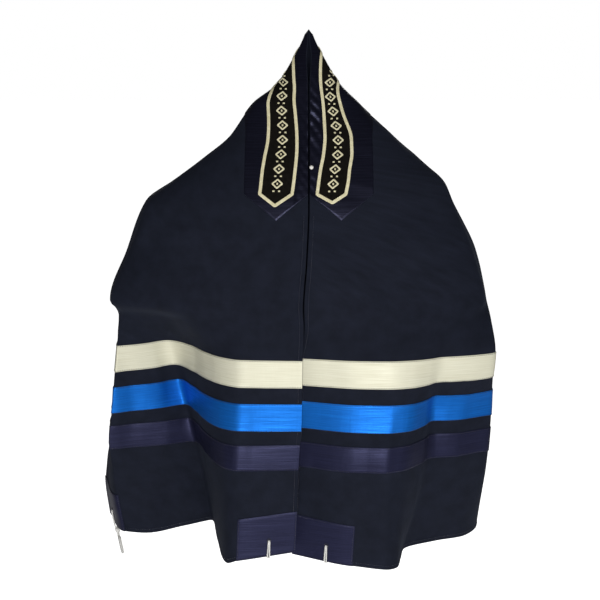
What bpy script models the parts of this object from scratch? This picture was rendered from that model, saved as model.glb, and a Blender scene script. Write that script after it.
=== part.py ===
"""A wool prayer shawl with silk stripes, a neck band and four corner tassels.

The shawl keeps the hollow form that it has when it is worn over the head: one rectangle of
cloth, whose long edge runs up the front to the peak and down again, so that its two ends hang
as front panels and its middle covers the back. The origin is the inside of the peak, where the
wearer's head holds it. +X is to the right of someone who faces the front, and the front looks
along -Y. Tables and sizes are in millimetres.
"""

import math
from collections import namedtuple

import bmesh
import bpy
import numpy as np
from mathutils import Matrix, Vector

MM = 0.001

# The cut of the cloth
CLOTH_WIDTH = 610.0
CLOTH_WALL = 2.0

# What is laid on the cloth
SEAM_GAP = 0.35
STRIPE_THICKNESS = 0.9
PATCH_THICKNESS = 0.9
PATCH_HEIGHT = 73.0
EYELET_HEIGHT = 29.0
BAND_WIDTH = 108.0
BAND_THICKNESS = 1.0
BAND_END = -270.0
BAND_TIP = -313.0
BAND_CROWN = -105.0
RIBBON_WIDTH = 6.2
RIBBON_THICKNESS = 1.0
RIBBON_CLEARANCE = 1.5
BEAD_DIAMETER = 7.0
BEAD_HEIGHT = -227.0
BEAD_DISTANCE = 2.5

# Heights of the stripes' edges, top then bottom
STRIPES = {
    "cream": (-545.0, -592.0),
    "blue": (-620.0, -667.0),
    "navy": (-691.0, -735.0),
}

# Tassels
STRAND = 1.7
STRAND_PITCH = 2.5
STRANDS_ACROSS = 4
STRANDS_DEEP = 2
LOOP_COLUMNS = (1, 2)
KNOT_DEPTH = 7.0
KNOT_FROM_HEM = 13.0
HANK_DROP = 34.0
HANK_LEAD = 6.0
HANK_TAIL = 8.0
CORD_CLEARANCE = 0.5
# How far along the hem each eyelet lies from the middle of its patch
EYELETS_ASIDE = {"inner_left": 5.0, "outer_left": 0.0, "inner_right": 7.0, "outer_right": 0.0}

# Colour, roughness and sheen of each material
FINISHES = {
    "wool": ((0.006, 0.008, 0.016), 0.90, 0.3),
    "cream silk": ((0.78, 0.74, 0.53), 0.42, 0.2),
    "blue silk": ((0.013, 0.15, 0.55), 0.38, 0.2),
    "navy satin": ((0.014, 0.014, 0.042), 0.34, 0.2),
    "cream ribbon": ((0.74, 0.68, 0.45), 0.45, 0.1),
    "white wool cord": ((0.80, 0.79, 0.74), 0.80, 0.2),
    "white bead": ((0.82, 0.80, 0.76), 0.30, 0.0),
}

# The rings of the hood and shoulders, down to where the sides open: half widths to the left and
# right, then how far the front, the sides and the back stand from the peak along Y
Ring = namedtuple("Ring", "height left right front side back")
RINGS = (
    Ring(-14, 9, 9, -7, 0, 7),
    Ring(-40, 22, 22, -15, 0, 15),
    Ring(-90, 54, 53, -30, 0, 33),
    Ring(-125, 98, 89, -41, -2, 48),
    Ring(-180, 139, 150, -59, -5, 70),
    Ring(-215, 183, 190, -72, -8, 85),
    Ring(-255, 237, 237, -87, -12, 101),
    Ring(-290, 286, 254, -98, -16, 113),
    Ring(-380, 324, 297, -120, -26, 137),
    Ring(-460, 353, 315, -134, -35, 150),
)
BACK_RING = Ring(-610, 349, 315, -134, -35, 158)
SLIT = RINGS[-1].height
SLIT_SHARE = 0.58
BAND_SHARE_AT_PEAK = 0.42
RING_STEPS = 60

# Where the two front edges meet: the line's place along X, and half of the gap between them
Opening = namedtuple("Opening", "height x half_gap")
OPENING = (
    Opening(-14, 0, 2.0),
    Opening(-40, 0, 4.5),
    Opening(-70, 0, 2.2),
    Opening(-125, 0, 1.4),
    Opening(-290, 0, 1.4),
    Opening(-460, -9, 1.4),
)

# The front panels below the sides' openings, as sections through named lines of the drape.
# Below the chest the left panel's edge laps over the right one's.
# "band" keeps the neck band's and the corner patch's width from the edge.
Section = namedtuple("Section", "height edge band brow fold wall valley rise crest turn slit")
LEFT_SECTIONS = (
    Section(-490, (-9, -139), (-112, -134), (-150, -126), (-187, -106), (-222, -74),
            (-255, -48), (-285, -46), (-313, -44), (-334, -28), (-337, 84)),
    Section(-550, (-11, -147), (-113, -141), (-150, -117), (-178, -78), (-210, -22),
            (-248, 12), (-276, -4), (-305, -20), (-337, -34), (-345, 94)),
    Section(-645, (-12, -150), (-113, -148), (-143, -134), (-168, -104), (-197, -42),
            (-230, 24), (-265, 0), (-304, -18), (-347, -38), (-357, 100)),
    Section(-720, (-17, -152), (-118, -158), (-140, -147), (-161, -115), (-186, -48),
            (-212, 14), (-256, -4), (-306, -20), (-356, -36), (-366, 106)),
    Section(-830, (-21, -153), (-122, -164), (-140, -154), (-153, -124), (-171, -38),
            (-192, 46), (-242, 20), (-302, -6), (-346, -10), (-382, 97)),
    Section(-905, (-24, -153), (-125, -168), (-141, -157), (-151, -127), (-165, -30),
            (-182, 68), (-232, 36), (-298, 0), (-336, 4), (-374, 95)),
)
RIGHT_SECTIONS = (
    Section(-490, (-7, -130), (90, -133), (138, -130), (178, -125), (210, -116),
            (231, -108), (256, -97), (287, -80), (318, -52), (313, 84)),
    Section(-550, (-16, -128), (89, -149), (136, -151), (177, -143), (205, -131),
            (227, -118), (251, -113), (288, -102), (325, -78), (315, 110)),
    Section(-645, (-17, -125), (90, -158), (134, -160), (170, -149), (198, -118),
            (219, -88), (246, -84), (284, -70), (325, -45), (312, 125)),
    Section(-720, (-22, -128), (85, -169), (129, -172), (160, -158), (195, -116),
            (221, -84), (246, -79), (283, -64), (322, -40), (307, 140)),
    Section(-905, (-29, -131), (75, -160), (131, -160), (155, -143), (163, -105),
            (170, -68), (226, -36), (284, -14), (314, 42), (303, 182)),
)

# How far each named line lies between the band's edge and the side opening, on the rings
LINE_SHARES = (0.0, 0.10, 0.21, 0.32, 0.43, 0.54, 0.67, 0.81, 1.0)
COLUMNS_BETWEEN_LINES = (4, 2, 2, 2, 2, 2, 2, 2, 4)
BAND_COLUMNS = COLUMNS_BETWEEN_LINES[0]
BACK_COLUMNS = 12

# The hem's height below each named line
LEFT_HEM = (-882, -893, -901, -902, -904, -905, -905, -905, -903, -900)
RIGHT_HEM = (-894, -905, -912, -914, -912, -910, -907, -905, -903, -898)

RING_ROWS = (-14, -27, -40, -62, -84, -105, -140, -180, -215, -245, -270, -320, -375, -420, -460)
PANEL_ROWS = (-475, -490, -517, -545, -570, -592, -607.5, -620, -643.5, -667, -679, -691,
              -713, -735, -780)
PATCH_ROWS = (PATCH_HEIGHT, 51.0, EYELET_HEIGHT, 14.0, 0.0)
SKIRT_ROWS = 6
SKIRT_ROUNDNESS = 0.8

# Soft folds down the hidden back: place as a share of the half ring, its width and its depth
BackFold = namedtuple("BackFold", "side share width depth")
BACK_FOLDS = (
    BackFold("left", 0.70, 0.045, 15.0),
    BackFold("left", 0.88, 0.060, 11.0),
    BackFold("right", 0.74, 0.050, 13.0),
    BackFold("right", 0.95, 0.040, 9.0),
)

# How the worn band pulls the ribbon's long lines nearer the front edge (under 1) or away from it
Pull = namedtuple("Pull", "depth left_inner left_outer right_inner right_outer")
PULLS = (
    Pull(24, 1.00, 1.00, 1.00, 1.00),
    Pull(47, 1.25, 1.00, 0.90, 1.00),
    Pull(75, 1.30, 1.00, 0.96, 0.86),
    Pull(105, 1.12, 0.95, 1.05, 0.76),
    Pull(140, 0.94, 0.97, 1.11, 0.86),
    Pull(178, 0.83, 1.01, 1.08, 0.99),
    Pull(202, 0.80, 1.03, 0.96, 0.98),
    Pull(236, 0.88, 1.05, 0.66, 0.88),
    Pull(270, 1.00, 1.05, 0.48, 0.82),
)
RIBBON_CROWNS = {"outer": 66.0, "inner": 24.0}
RIBBON_TIPS = {"left": (-289.0, 56.0), "right": (-284.0, 38.0)}
# The ribbon's rows close to its crown, whose depths end at this many times the crown's
CROWN_BEND_STEPS = 9
CROWN_BEND_END = 1.6
CLEAR_OF_BEND = 1.04
# The shares of a straight line's distance that stay low down and that are added at the crown
SPREAD_BELOW = 0.78
SPREAD_AT_CROWN = 0.22


def clear_scene():
    for obj in list(bpy.data.objects):
        bpy.data.objects.remove(obj, do_unlink=True)


def make_finish(name):
    colour, roughness, sheen = FINISHES[name]
    material = bpy.data.materials.new(name)
    material.use_nodes = True
    shader = material.node_tree.nodes["Principled BSDF"]
    shader.inputs["Base Color"].default_value = (*colour, 1.0)
    shader.inputs["Roughness"].default_value = roughness
    shader.inputs["Metallic"].default_value = 0.0
    shader.inputs["Sheen Weight"].default_value = sheen
    return material


def smooth_through(knots, values, at):
    """A smooth curve through the values that never swings past them (monotone cubic)."""
    knots = np.asarray(knots, float)
    values = np.asarray(values, float)
    steps = np.diff(knots)
    slopes = np.diff(values) / steps
    tangents = np.empty_like(values)
    tangents[0], tangents[-1] = slopes[0], slopes[-1]
    before, after = slopes[:-1], slopes[1:]
    same_way = before * after > 0
    sums = np.where(same_way, before + after, 1.0)
    tangents[1:-1] = np.where(same_way, 2 * before * after / sums, 0.0)
    at = np.clip(np.asarray(at, float), knots[0], knots[-1])
    cell = np.clip(np.searchsorted(knots, at, side="right") - 1, 0, len(steps) - 1)
    width = steps[cell]
    t = (at - knots[cell]) / width
    return (
        (1 + 2 * t) * (1 - t) ** 2 * values[cell]
        + t * (1 - t) ** 2 * width * tangents[cell]
        + t * t * (3 - 2 * t) * values[cell + 1]
        + t * t * (t - 1) * width * tangents[cell + 1]
    )


def run_lengths(points):
    """The length along a row of points, up to each of them."""
    steps = np.linalg.norm(np.diff(points, axis=0), axis=1)
    return np.concatenate([[0.0], np.cumsum(steps)])


def opening_at(height):
    heights = [-row.height for row in OPENING]
    x = smooth_through(heights, [row.x for row in OPENING], -height)
    half_gap = smooth_through(heights, [row.half_gap for row in OPENING], -height)
    return float(x), float(half_gap)


def half_ring(ring, side):
    """Points from the front edge round one side to the middle of the back, (x, y) each."""
    sign = -1 if side == "left" else 1
    centre, half_gap = opening_at(ring.height)
    reach = sign * (ring.left if side == "left" else ring.right)
    start = centre + sign * half_gap
    turn = np.linspace(0, math.pi / 2, RING_STEPS)
    front = np.stack(
        [start + (reach - start) * np.sin(turn), ring.side + (ring.front - ring.side) * np.cos(turn)],
        axis=1,
    )
    back = np.stack(
        [reach * np.cos(turn), ring.side + (ring.back - ring.side) * np.sin(turn)], axis=1
    )
    return np.concatenate([front, back[1:]])


def points_at(path, lengths):
    run = run_lengths(path)
    return np.stack([np.interp(lengths, run, path[:, axis]) for axis in (0, 1)], axis=1)


def front_lines_on(ring, side):
    """Where the named lines of one front panel cross a ring."""
    path = half_ring(ring, side)
    half_length = run_lengths(path)[-1]
    slit = SLIT_SHARE * half_length
    band = min(BAND_WIDTH, BAND_SHARE_AT_PEAK * half_length)
    shares = np.array(LINE_SHARES)
    return points_at(path, np.concatenate([[0.0], band + (slit - band) * shares]))


def back_line_on(ring, side):
    """Columns from the side opening to the middle of the back, with the back's soft folds."""
    path = half_ring(ring, side)
    half_length = run_lengths(path)[-1]
    shares = np.linspace(SLIT_SHARE, 1.0, BACK_COLUMNS + 1)
    points = points_at(path, shares * half_length)
    depth_here = min(1.0, ring.height / SLIT)
    for fold in BACK_FOLDS:
        if fold.side == side:
            dip = fold.depth * depth_here * np.exp(-(((shares - fold.share) / fold.width) ** 2))
            points[:, 1] -= dip
    return points


def columns_through(lines):
    """The columns of one section, evenly spaced between the named lines it runs through."""
    run = run_lengths(lines)
    at = [0.0]
    for start, end, count in zip(run[:-1], run[1:], COLUMNS_BETWEEN_LINES):
        at.extend(start + (end - start) * (step + 1) / count for step in range(count))
    return np.stack([smooth_through(run, lines[:, axis], at) for axis in (0, 1)], axis=1)


def front_panel(side):
    """One front panel as a grid of points, from the first ring to the hem."""
    sections = LEFT_SECTIONS if side == "left" else RIGHT_SECTIONS
    hem = LEFT_HEM if side == "left" else RIGHT_HEM
    depths = [-ring.height for ring in RINGS] + [-section.height for section in sections]
    lines = [front_lines_on(ring, side) for ring in RINGS]
    lines += [np.array(section[1:], float) for section in sections]
    lines = np.array(lines)

    line_columns = np.concatenate([[0], np.cumsum(COLUMNS_BETWEEN_LINES)])
    hem_heights = smooth_through(line_columns, hem, np.arange(line_columns[-1] + 1))
    rows = []
    for height in RING_ROWS + PANEL_ROWS:
        rows.append(section_row(depths, lines, np.full(len(hem_heights), float(height))))
    for above_hem in PATCH_ROWS:
        rows.append(section_row(depths, lines, hem_heights + above_hem))
    return np.array(rows)


def section_row(depths, lines, heights):
    """A row of the grid whose columns lie at these heights."""
    row = np.empty((len(heights), 3))
    for column, height in enumerate(heights):
        crossed = np.stack(
            [
                [smooth_through(depths, lines[:, line, axis], -height) for axis in (0, 1)]
                for line in range(lines.shape[1])
            ]
        )
        row[column, :2] = columns_through(crossed)[column]
        row[column, 2] = height
    return row


def back_panel():
    """The back as a grid of points: the rings, then a skirt that ends in a curved hem."""
    rings = RINGS + (BACK_RING,)
    depths = [-ring.height for ring in rings]
    lines = np.array([
        np.concatenate([back_line_on(ring, "left"), back_line_on(ring, "right")[::-1][1:]])
        for ring in rings
    ])
    columns = lines.shape[1]

    def place(column, height):
        x, y = (smooth_through(depths, lines[:, column, axis], -height) for axis in (0, 1))
        return (float(x), float(y), float(height))

    rows = [[place(column, height) for column in range(columns)] for height in RING_ROWS]
    middle = columns // 2
    spine = np.array([(0.0, 0.0, 0.0)] + [row[middle] for row in rows])
    drop_left = CLOTH_WIDTH - run_lengths(spine)[-1]
    for step in range(1, SKIRT_ROWS + 1):
        share = step / SKIRT_ROWS
        row = []
        for column in range(columns):
            across = math.sin(math.pi * column / (columns - 1)) ** SKIRT_ROUNDNESS
            row.append(place(column, SLIT - drop_left * across * share))
        rows.append(row)
    return np.array(rows)


def grid_normals(grid):
    """Outward normals at a grid's points, with rows that run down and columns clockwise."""
    along = np.gradient(grid, axis=1)
    down = np.gradient(grid, axis=0)
    normals = np.cross(along, down)
    return normals / np.linalg.norm(normals, axis=2, keepdims=True)


def triangles_between(upper, lower):
    """Two triangles for each cell between two rows of point numbers, the same way everywhere."""
    triangles = []
    for column in range(len(upper) - 1):
        corners = (upper[column], upper[column + 1], lower[column + 1], lower[column])
        for triangle in ((corners[0], corners[1], corners[2]), (corners[0], corners[2], corners[3])):
            if len(set(triangle)) == 3:
                triangles.append(triangle)
    return triangles


def triangles_of(grid):
    """The triangles of a grid of point numbers, given row by row."""
    triangles = []
    for upper, lower in zip(grid[:-1], grid[1:]):
        triangles.extend(triangles_between(upper, lower))
    return triangles


def point_normals(points, triangles):
    normals = np.zeros_like(points)
    corners = points[np.array(triangles)]
    faces = np.cross(corners[:, 1] - corners[:, 0], corners[:, 2] - corners[:, 0])
    for corner in range(3):
        np.add.at(normals, np.array(triangles)[:, corner], faces)
    return normals / np.linalg.norm(normals, axis=1, keepdims=True)


class Drape:
    """The hanging cloth's outer face: its points, and a grid of point numbers for each panel.

    Columns run clockwise seen from above: from the left front edge round the back to the right
    front edge. The panels share the columns at the side openings' tops, and one apex.
    """

    def __init__(self):
        left = front_panel("left")
        back = back_panel()
        right = front_panel("right")[:, ::-1]
        self.slit_row = len(RING_ROWS) - 1
        self.points = [(0.0, 0.0, CLOTH_WALL)]
        self.apex = 0
        self.left = self.number(left)
        self.right = self.number(right)
        self.back = self.number(back)
        for row in range(len(back)):
            shared_row = min(row, self.slit_row)
            self.back[row, 0] = self.left[shared_row, -1]
            self.back[row, -1] = self.right[shared_row, 0]
        self.points = np.array(self.points)
        self.triangles = triangles_of(self.left) + triangles_of(self.back)
        self.triangles += triangles_of(self.right) + self.cap(self.ring(0))
        self.normals = point_normals_kept(self.points, self.triangles)

    def number(self, grid):
        start = len(self.points)
        self.points.extend(tuple(point) for row in grid for point in row)
        return np.arange(start, start + grid.shape[0] * grid.shape[1]).reshape(grid.shape[:2])

    def ring(self, row):
        """The point numbers of one whole ring, edge to edge."""
        return np.concatenate([self.left[row], self.back[row][1:], self.right[row][1:]])

    def cap(self, ring):
        return triangles_between([self.apex] * len(ring), ring)

    def add_between(self, upper, lower, share):
        """A new point on the cloth's edge between two of its points."""
        point = self.points[upper] * (1 - share) + self.points[lower] * share
        normal = self.normals[upper] * (1 - share) + self.normals[lower] * share
        self.points = np.vstack([self.points, point])
        self.normals = np.vstack([self.normals, normal / np.linalg.norm(normal)])
        return len(self.points) - 1

    def around(self, side, height):
        """The cloth's ring at a height, from this side's front edge to the other one."""
        row = int(np.searchsorted(-np.array(RING_ROWS), -height, side="right")) - 1
        row = max(0, min(row, len(RING_ROWS) - 2))
        upper, lower = (self.points[self.ring(index)] for index in (row, row + 1))
        share = (height - RING_ROWS[row]) / (RING_ROWS[row + 1] - RING_ROWS[row])
        ring = upper * (1 - share) + lower * share
        return ring if side == "left" else ring[::-1]

    def half_length(self, side, height):
        ring = self.around(side, height)
        return run_lengths(ring)[len(ring) // 2]

    def at(self, side, height, distance):
        """The point at a distance from the front edge, measured round the cloth."""
        ring = self.around(side, height)
        run = run_lengths(ring)
        return np.array([np.interp(distance, run, ring[:, axis]) for axis in range(3)])

    def ways_at(self, side, height, distance):
        """The cloth's direction round the ring, its direction down, and its outward normal."""
        reach = 2.0
        along = self.at(side, height, distance + reach) - self.at(side, height, distance - reach)
        down = self.at(side, height - reach, distance) - self.at(side, height + reach, distance)
        normal = np.cross(along, down) if side == "left" else np.cross(down, along)
        return along / (2 * reach), down / (2 * reach), normal / np.linalg.norm(normal)


def point_normals_kept(points, triangles):
    """Normals for every point, also those that no triangle uses."""
    used = sorted({corner for triangle in triangles for corner in triangle})
    renumber = {point: place for place, point in enumerate(used)}
    packed = [tuple(renumber[corner] for corner in triangle) for triangle in triangles]
    normals = np.tile((0.0, 0.0, 1.0), (len(points), 1))
    normals[used] = point_normals(points[used], packed)
    return normals


def add_mesh(name, points, triangles, finish):
    mesh = bpy.data.meshes.new(name)
    mesh.from_pydata([tuple(point * MM) for point in points], [], triangles)
    mesh.shade_smooth()
    mesh.materials.append(finish)
    obj = bpy.data.objects.new(name, mesh)
    bpy.context.scene.collection.objects.link(obj)
    return obj


def add_wall(name, drape, triangles, lift, thickness, finish):
    """A closed wall from some of the cloth's triangles, moved out by lift.

    A positive thickness grows outwards from there, and a negative one inwards.
    """
    used = sorted({corner for triangle in triangles for corner in triangle})
    renumber = {point: place for place, point in enumerate(used)}
    points = drape.points[used] + drape.normals[used] * lift
    packed = [tuple(renumber[corner] for corner in triangle) for triangle in triangles]
    obj = add_mesh(name, points, packed, finish)
    wall = obj.modifiers.new("Wall", "SOLIDIFY")
    wall.thickness = abs(thickness) * MM
    wall.offset = 1.0 if thickness > 0 else -1.0
    return obj


def add_cloth(drape, finishes):
    add_wall("shawl_cloth", drape, drape.triangles, 0.0, -CLOTH_WALL, finishes["wool"])


def add_stripes(drape, finishes):
    heights = RING_ROWS + PANEL_ROWS
    finish_names = {"cream": "cream silk", "blue": "blue silk", "navy": "navy satin"}
    for colour, (top, bottom) in STRIPES.items():
        rows = slice(heights.index(top), heights.index(bottom) + 1)
        for side, grid in (("left", drape.left), ("right", drape.right)):
            add_wall(f"stripe_{colour}_{side}", drape, triangles_of(grid[rows]), SEAM_GAP,
                     STRIPE_THICKNESS, finishes[finish_names[colour]])


def add_corner_patches(drape, finishes):
    rows = slice(-len(PATCH_ROWS), None)
    places = {
        "inner_left": drape.left[rows, : BAND_COLUMNS + 1],
        "outer_left": drape.left[rows, -BAND_COLUMNS - 1:],
        "inner_right": drape.right[rows, -BAND_COLUMNS - 1:],
        "outer_right": drape.right[rows, :BAND_COLUMNS],
    }
    for place, grid in places.items():
        add_wall(f"corner_patch_{place}", drape, triangles_of(grid), SEAM_GAP,
                 PATCH_THICKNESS, finishes["navy satin"])


def add_neck_band(drape, finishes):
    """The satin band along the front edges and over the peak, with pointed ends."""
    crown = RING_ROWS.index(BAND_CROWN)
    end = RING_ROWS.index(BAND_END)
    rings = np.array([drape.ring(row) for row in range(crown + 1)])
    triangles = drape.cap(rings[0]) + triangles_of(rings)
    next_height = RING_ROWS[end + 1]
    for grid in (drape.left[:, : BAND_COLUMNS + 1], drape.right[:, -BAND_COLUMNS - 1:]):
        point_row = []
        for column, (upper, lower) in enumerate(zip(grid[end], grid[end + 1])):
            to_point = 1 - abs(2 * column / BAND_COLUMNS - 1)
            share = to_point * (BAND_TIP - BAND_END) / (next_height - BAND_END)
            point_row.append(drape.add_between(upper, lower, share) if to_point else upper)
        triangles += triangles_of(np.vstack([grid[crown: end + 1], point_row]))
    add_wall("atarah_base", drape, triangles, SEAM_GAP, BAND_THICKNESS, finishes["navy satin"])


def border_line(drape, side, line_name):
    """One long line of the ribbon, from the middle of the back down to the band's end.

    The line keeps its distance from the front edge, as a straight line on the flat cloth does,
    and so it passes behind the peak at its own crown height. PULLS then shifts it a little.
    """
    crown = RIBBON_CROWNS[line_name]
    pulls = [getattr(row, f"{side}_{line_name}") for row in PULLS]
    steps = np.linspace(0.0, 1.0, CROWN_BEND_STEPS)
    bend = [crown * CROWN_BEND_END ** (step * step) for step in steps]
    rows = [-row for row in RING_ROWS if bend[-1] * CLEAR_OF_BEND < -row <= -BAND_END]
    rows += [(upper + lower) / 2 for upper, lower in zip(rows[:-1], rows[1:])]
    line = []
    for depth in bend + sorted(rows):
        angle = math.asin(min(1.0, crown / depth))
        half_length = drape.half_length(side, -depth)
        spread = SPREAD_BELOW + SPREAD_AT_CROWN * math.sin(angle)
        pull = float(smooth_through([row.depth for row in PULLS], pulls, depth))
        distance = angle / (math.pi / 2) * half_length * spread * pull
        line.append((side, -depth, min(distance, half_length)))
    return line


def add_border(drape, finishes):
    """The cream ribbon: one closed loop round the band, pointed at both ends."""
    outer, inner = (
        {side: border_line(drape, side, line_name) for side in ("left", "right")}
        for line_name in ("outer", "inner")
    )
    loop = outer["left"][::-1] + outer["right"][1:] + [("right", *RIBBON_TIPS["right"])]
    loop += inner["right"][::-1] + inner["left"][1:] + [("left", *RIBBON_TIPS["left"])]

    centres = np.array([drape.at(*place) for place in loop])
    tangents = np.roll(centres, -1, axis=0) - np.roll(centres, 1, axis=0)
    points = []
    for (side, height, distance), tangent in zip(loop, tangents):
        along, down, normal = drape.ways_at(side, height, distance)
        across = np.cross(tangent, normal)
        across *= RIBBON_WIDTH / 2 / np.linalg.norm(across)
        steps = np.linalg.lstsq(np.stack([along, down], axis=1), across, rcond=None)[0]
        edges = []
        for way in (-1, 1):
            place = (side, height - way * steps[1], distance + way * steps[0])
            edges.append((drape.at(*place), drape.ways_at(*place)[2]))
        lift = 2 * SEAM_GAP + BAND_THICKNESS + RIBBON_CLEARANCE
        top = lift + RIBBON_THICKNESS
        for (edge, outwards), rise in zip(edges + edges[::-1], (lift, lift, top, top)):
            points.append(edge + outwards * rise)
    triangles = []
    count = len(loop)
    for station in range(count):
        here, there = station * 4, (station + 1) % count * 4
        for corner in range(4):
            after = (corner + 1) % 4
            triangles.append((here + corner, here + after, there + after))
            triangles.append((here + corner, there + after, there + corner))
    border = add_mesh("atarah_border", np.array(points), triangles, finishes["cream ribbon"])
    turn_faces_outwards(border)


def turn_faces_outwards(obj):
    mesh = bmesh.new()
    mesh.from_mesh(obj.data)
    bmesh.ops.recalc_face_normals(mesh, faces=mesh.faces)
    mesh.to_mesh(obj.data)
    mesh.free()


def add_neck_bead(drape, finishes):
    seat = drape.at("right", BEAD_HEIGHT, BEAD_DISTANCE)
    normal = drape.ways_at("right", BEAD_HEIGHT, BEAD_DISTANCE)[2]
    lift = 2 * SEAM_GAP + BAND_THICKNESS + BEAD_DIAMETER / 2
    mesh = bmesh.new()
    bmesh.ops.create_uvsphere(mesh, u_segments=12, v_segments=8, radius=BEAD_DIAMETER / 2)
    bmesh.ops.translate(mesh, verts=mesh.verts, vec=Vector(seat + normal * lift))
    finish_mesh("neck_bead", mesh, finishes["white bead"])


def finish_mesh(name, mesh, finish):
    """Makes a smooth object from a bmesh in millimetres."""
    bmesh.ops.scale(mesh, verts=mesh.verts, vec=(MM, MM, MM))
    bmesh.ops.recalc_face_normals(mesh, faces=mesh.faces)
    data = bpy.data.meshes.new(name)
    mesh.to_mesh(data)
    mesh.free()
    data.materials.append(finish)
    obj = bpy.data.objects.new(name, data)
    bpy.context.scene.collection.objects.link(obj)
    return obj


def draw_strand(mesh, face, path):
    """Insets one face of the knot and carries it along a path, turning with it."""
    inset = (STRAND_PITCH - STRAND) / 2
    bmesh.ops.inset_individual(mesh, faces=[face], thickness=inset)
    centre = face.calc_center_median()
    heading = face.normal.copy()
    stops = [Vector(point) for point in path]
    for place, stop in enumerate(stops):
        onward = stops[place + 1] - stop if place + 1 < len(stops) else stop - centre
        heading_next = ((stop - centre).normalized() + onward.normalized()).normalized()
        turn = heading.rotation_difference(heading_next)
        face = bmesh.ops.extrude_discrete_faces(mesh, faces=[face])["faces"][0]
        for corner in face.verts:
            corner.co = stop + turn @ (corner.co - centre)
        centre, heading = stop, heading_next


def knot_block(mesh, centre, across, deep):
    """A block of across by deep cells; returns its lower and its upper faces by their cells."""
    half = Vector((across, deep, 0)) * STRAND_PITCH / 2
    low, high = centre.z - KNOT_DEPTH / 2, centre.z + KNOT_DEPTH / 2
    corners = {}
    for layer, height in enumerate((low, high)):
        for column in range(across + 1):
            for row in range(deep + 1):
                x = centre.x - half.x + column * STRAND_PITCH
                y = centre.y - half.y + row * STRAND_PITCH
                corners[column, row, layer] = mesh.verts.new((x, y, height))

    def face(*keys):
        return mesh.faces.new([corners[key] for key in keys])

    lower, upper = {}, {}
    for column in range(across):
        for row in range(deep):
            square = ((column, row), (column + 1, row), (column + 1, row + 1), (column, row + 1))
            lower[column, row] = face(*[(*key, 0) for key in reversed(square)])
            upper[column, row] = face(*[(*key, 1) for key in square])
    for column in range(across):
        face((column, 0, 0), (column + 1, 0, 0), (column + 1, 0, 1), (column, 0, 1))
        face((column + 1, deep, 0), (column, deep, 0), (column, deep, 1), (column + 1, deep, 1))
    for row in range(deep):
        face((0, row + 1, 0), (0, row, 0), (0, row, 1), (0, row + 1, 1))
        face((across, row, 0), (across, row + 1, 0), (across, row + 1, 1), (across, row, 1))
    mesh.normal_update()
    return lower, upper


def hank_path(start, way, fold_x):
    """A strand's path: straight for the hank's drop, then back beside itself."""
    turns = 4
    radius = fold_x - start.x
    far = start.z + way * HANK_DROP
    path = [
        Vector((start.x, start.y, start.z + way * HANK_LEAD)), Vector((start.x, start.y, far))
    ]
    for step in range(1, turns + 1):
        angle = math.pi * step / turns
        path.append(Vector((
            fold_x - radius * math.cos(angle), start.y, far + way * radius * math.sin(angle)
        )))
    path.append(Vector((fold_x + radius, start.y, start.z + way * HANK_TAIL)))
    return path


def add_tassel(name, frame, hangs, finishes):
    """A corner's cords: a loop from the eyelet over the hem, a knot, and a folded hank.

    The frame has X along the hem, Y into the shawl and Z up the panel from the hem.
    """
    front = -(2 * SEAM_GAP + PATCH_THICKNESS + STRAND / 2 + CORD_CLEARANCE)
    behind = CLOTH_WALL + SEAM_GAP + STRAND / 2 + CORD_CLEARANCE
    if hangs:
        knot = Vector((0.0, -0.4, -KNOT_FROM_HEM))
    else:
        half_depth = STRAND_PITCH * STRANDS_DEEP / 2
        inside = CLOTH_WALL + SEAM_GAP + half_depth + 2 * CORD_CLEARANCE
        knot = Vector((0.0, inside, KNOT_FROM_HEM))
    mesh = bmesh.new()
    lower, upper = knot_block(mesh, knot, STRANDS_ACROSS, STRANDS_DEEP)
    hank_faces, loop_faces = (lower, upper) if hangs else (upper, lower)
    way = -1.0 if hangs else 1.0
    fold_x = knot.x + STRAND_PITCH * (STRANDS_ACROSS + 1) / 2

    for face in hank_faces.values():
        draw_strand(mesh, face, hank_path(face.calc_center_median(), way, fold_x))
    for column in LOOP_COLUMNS:
        x = loop_faces[column, 0].calc_center_median().x
        up_front = [(x, front, 1.0), (x, front, EYELET_HEIGHT / 2), (x, front, EYELET_HEIGHT)]
        if hangs:
            draw_strand(mesh, loop_faces[column, 0], [(x, front, -5.0)] + up_front)
            up_behind = [(x, behind, -5.0), (x, behind, 1.0), (x, behind, EYELET_HEIGHT)]
            draw_strand(mesh, loop_faces[column, 1], up_behind)
        else:
            start = loop_faces[column, 0].calc_center_median()
            under = [(x, start.y, 1.5), (x, start.y - 1.2, -1.2), (x, 0.6, -1.9),
                     (x, front + 0.8, -1.2)]
            draw_strand(mesh, loop_faces[column, 0], under + up_front)
    bmesh.ops.triangulate(mesh, faces=mesh.faces)
    bmesh.ops.transform(mesh, matrix=frame, verts=mesh.verts)
    finish_mesh(name, mesh, finishes["white wool cord"])


def corner_frame(drape, grid, column, aside):
    """A frame at the hem below a corner's eyelet, moved aside along the hem."""
    eyelet_row = PATCH_ROWS.index(EYELET_HEIGHT) - len(PATCH_ROWS)
    hem = Vector(drape.points[grid[-1, column]])
    up = (Vector(drape.points[grid[eyelet_row, column]]) - hem).normalized()
    inwards = -Vector(drape.normals[grid[-1, column]])
    inwards = (inwards - up * inwards.dot(up)).normalized()
    along = inwards.cross(up)
    turn = Matrix((along, inwards, up)).transposed().to_4x4()
    return Matrix.Translation(hem + along * aside) @ turn


def add_tassels(drape, finishes):
    eyelet = BAND_COLUMNS // 2
    places = {
        "inner_left": (drape.left, eyelet, False),
        "outer_left": (drape.left, -1 - eyelet, True),
        "inner_right": (drape.right, -1 - eyelet, False),
        "outer_right": (drape.right, eyelet - 1, False),
    }
    for place, (grid, column, hangs) in places.items():
        frame = corner_frame(drape, grid, column, EYELETS_ASIDE[place])
        add_tassel(f"tzitzit_{place}", frame, hangs, finishes)


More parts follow.
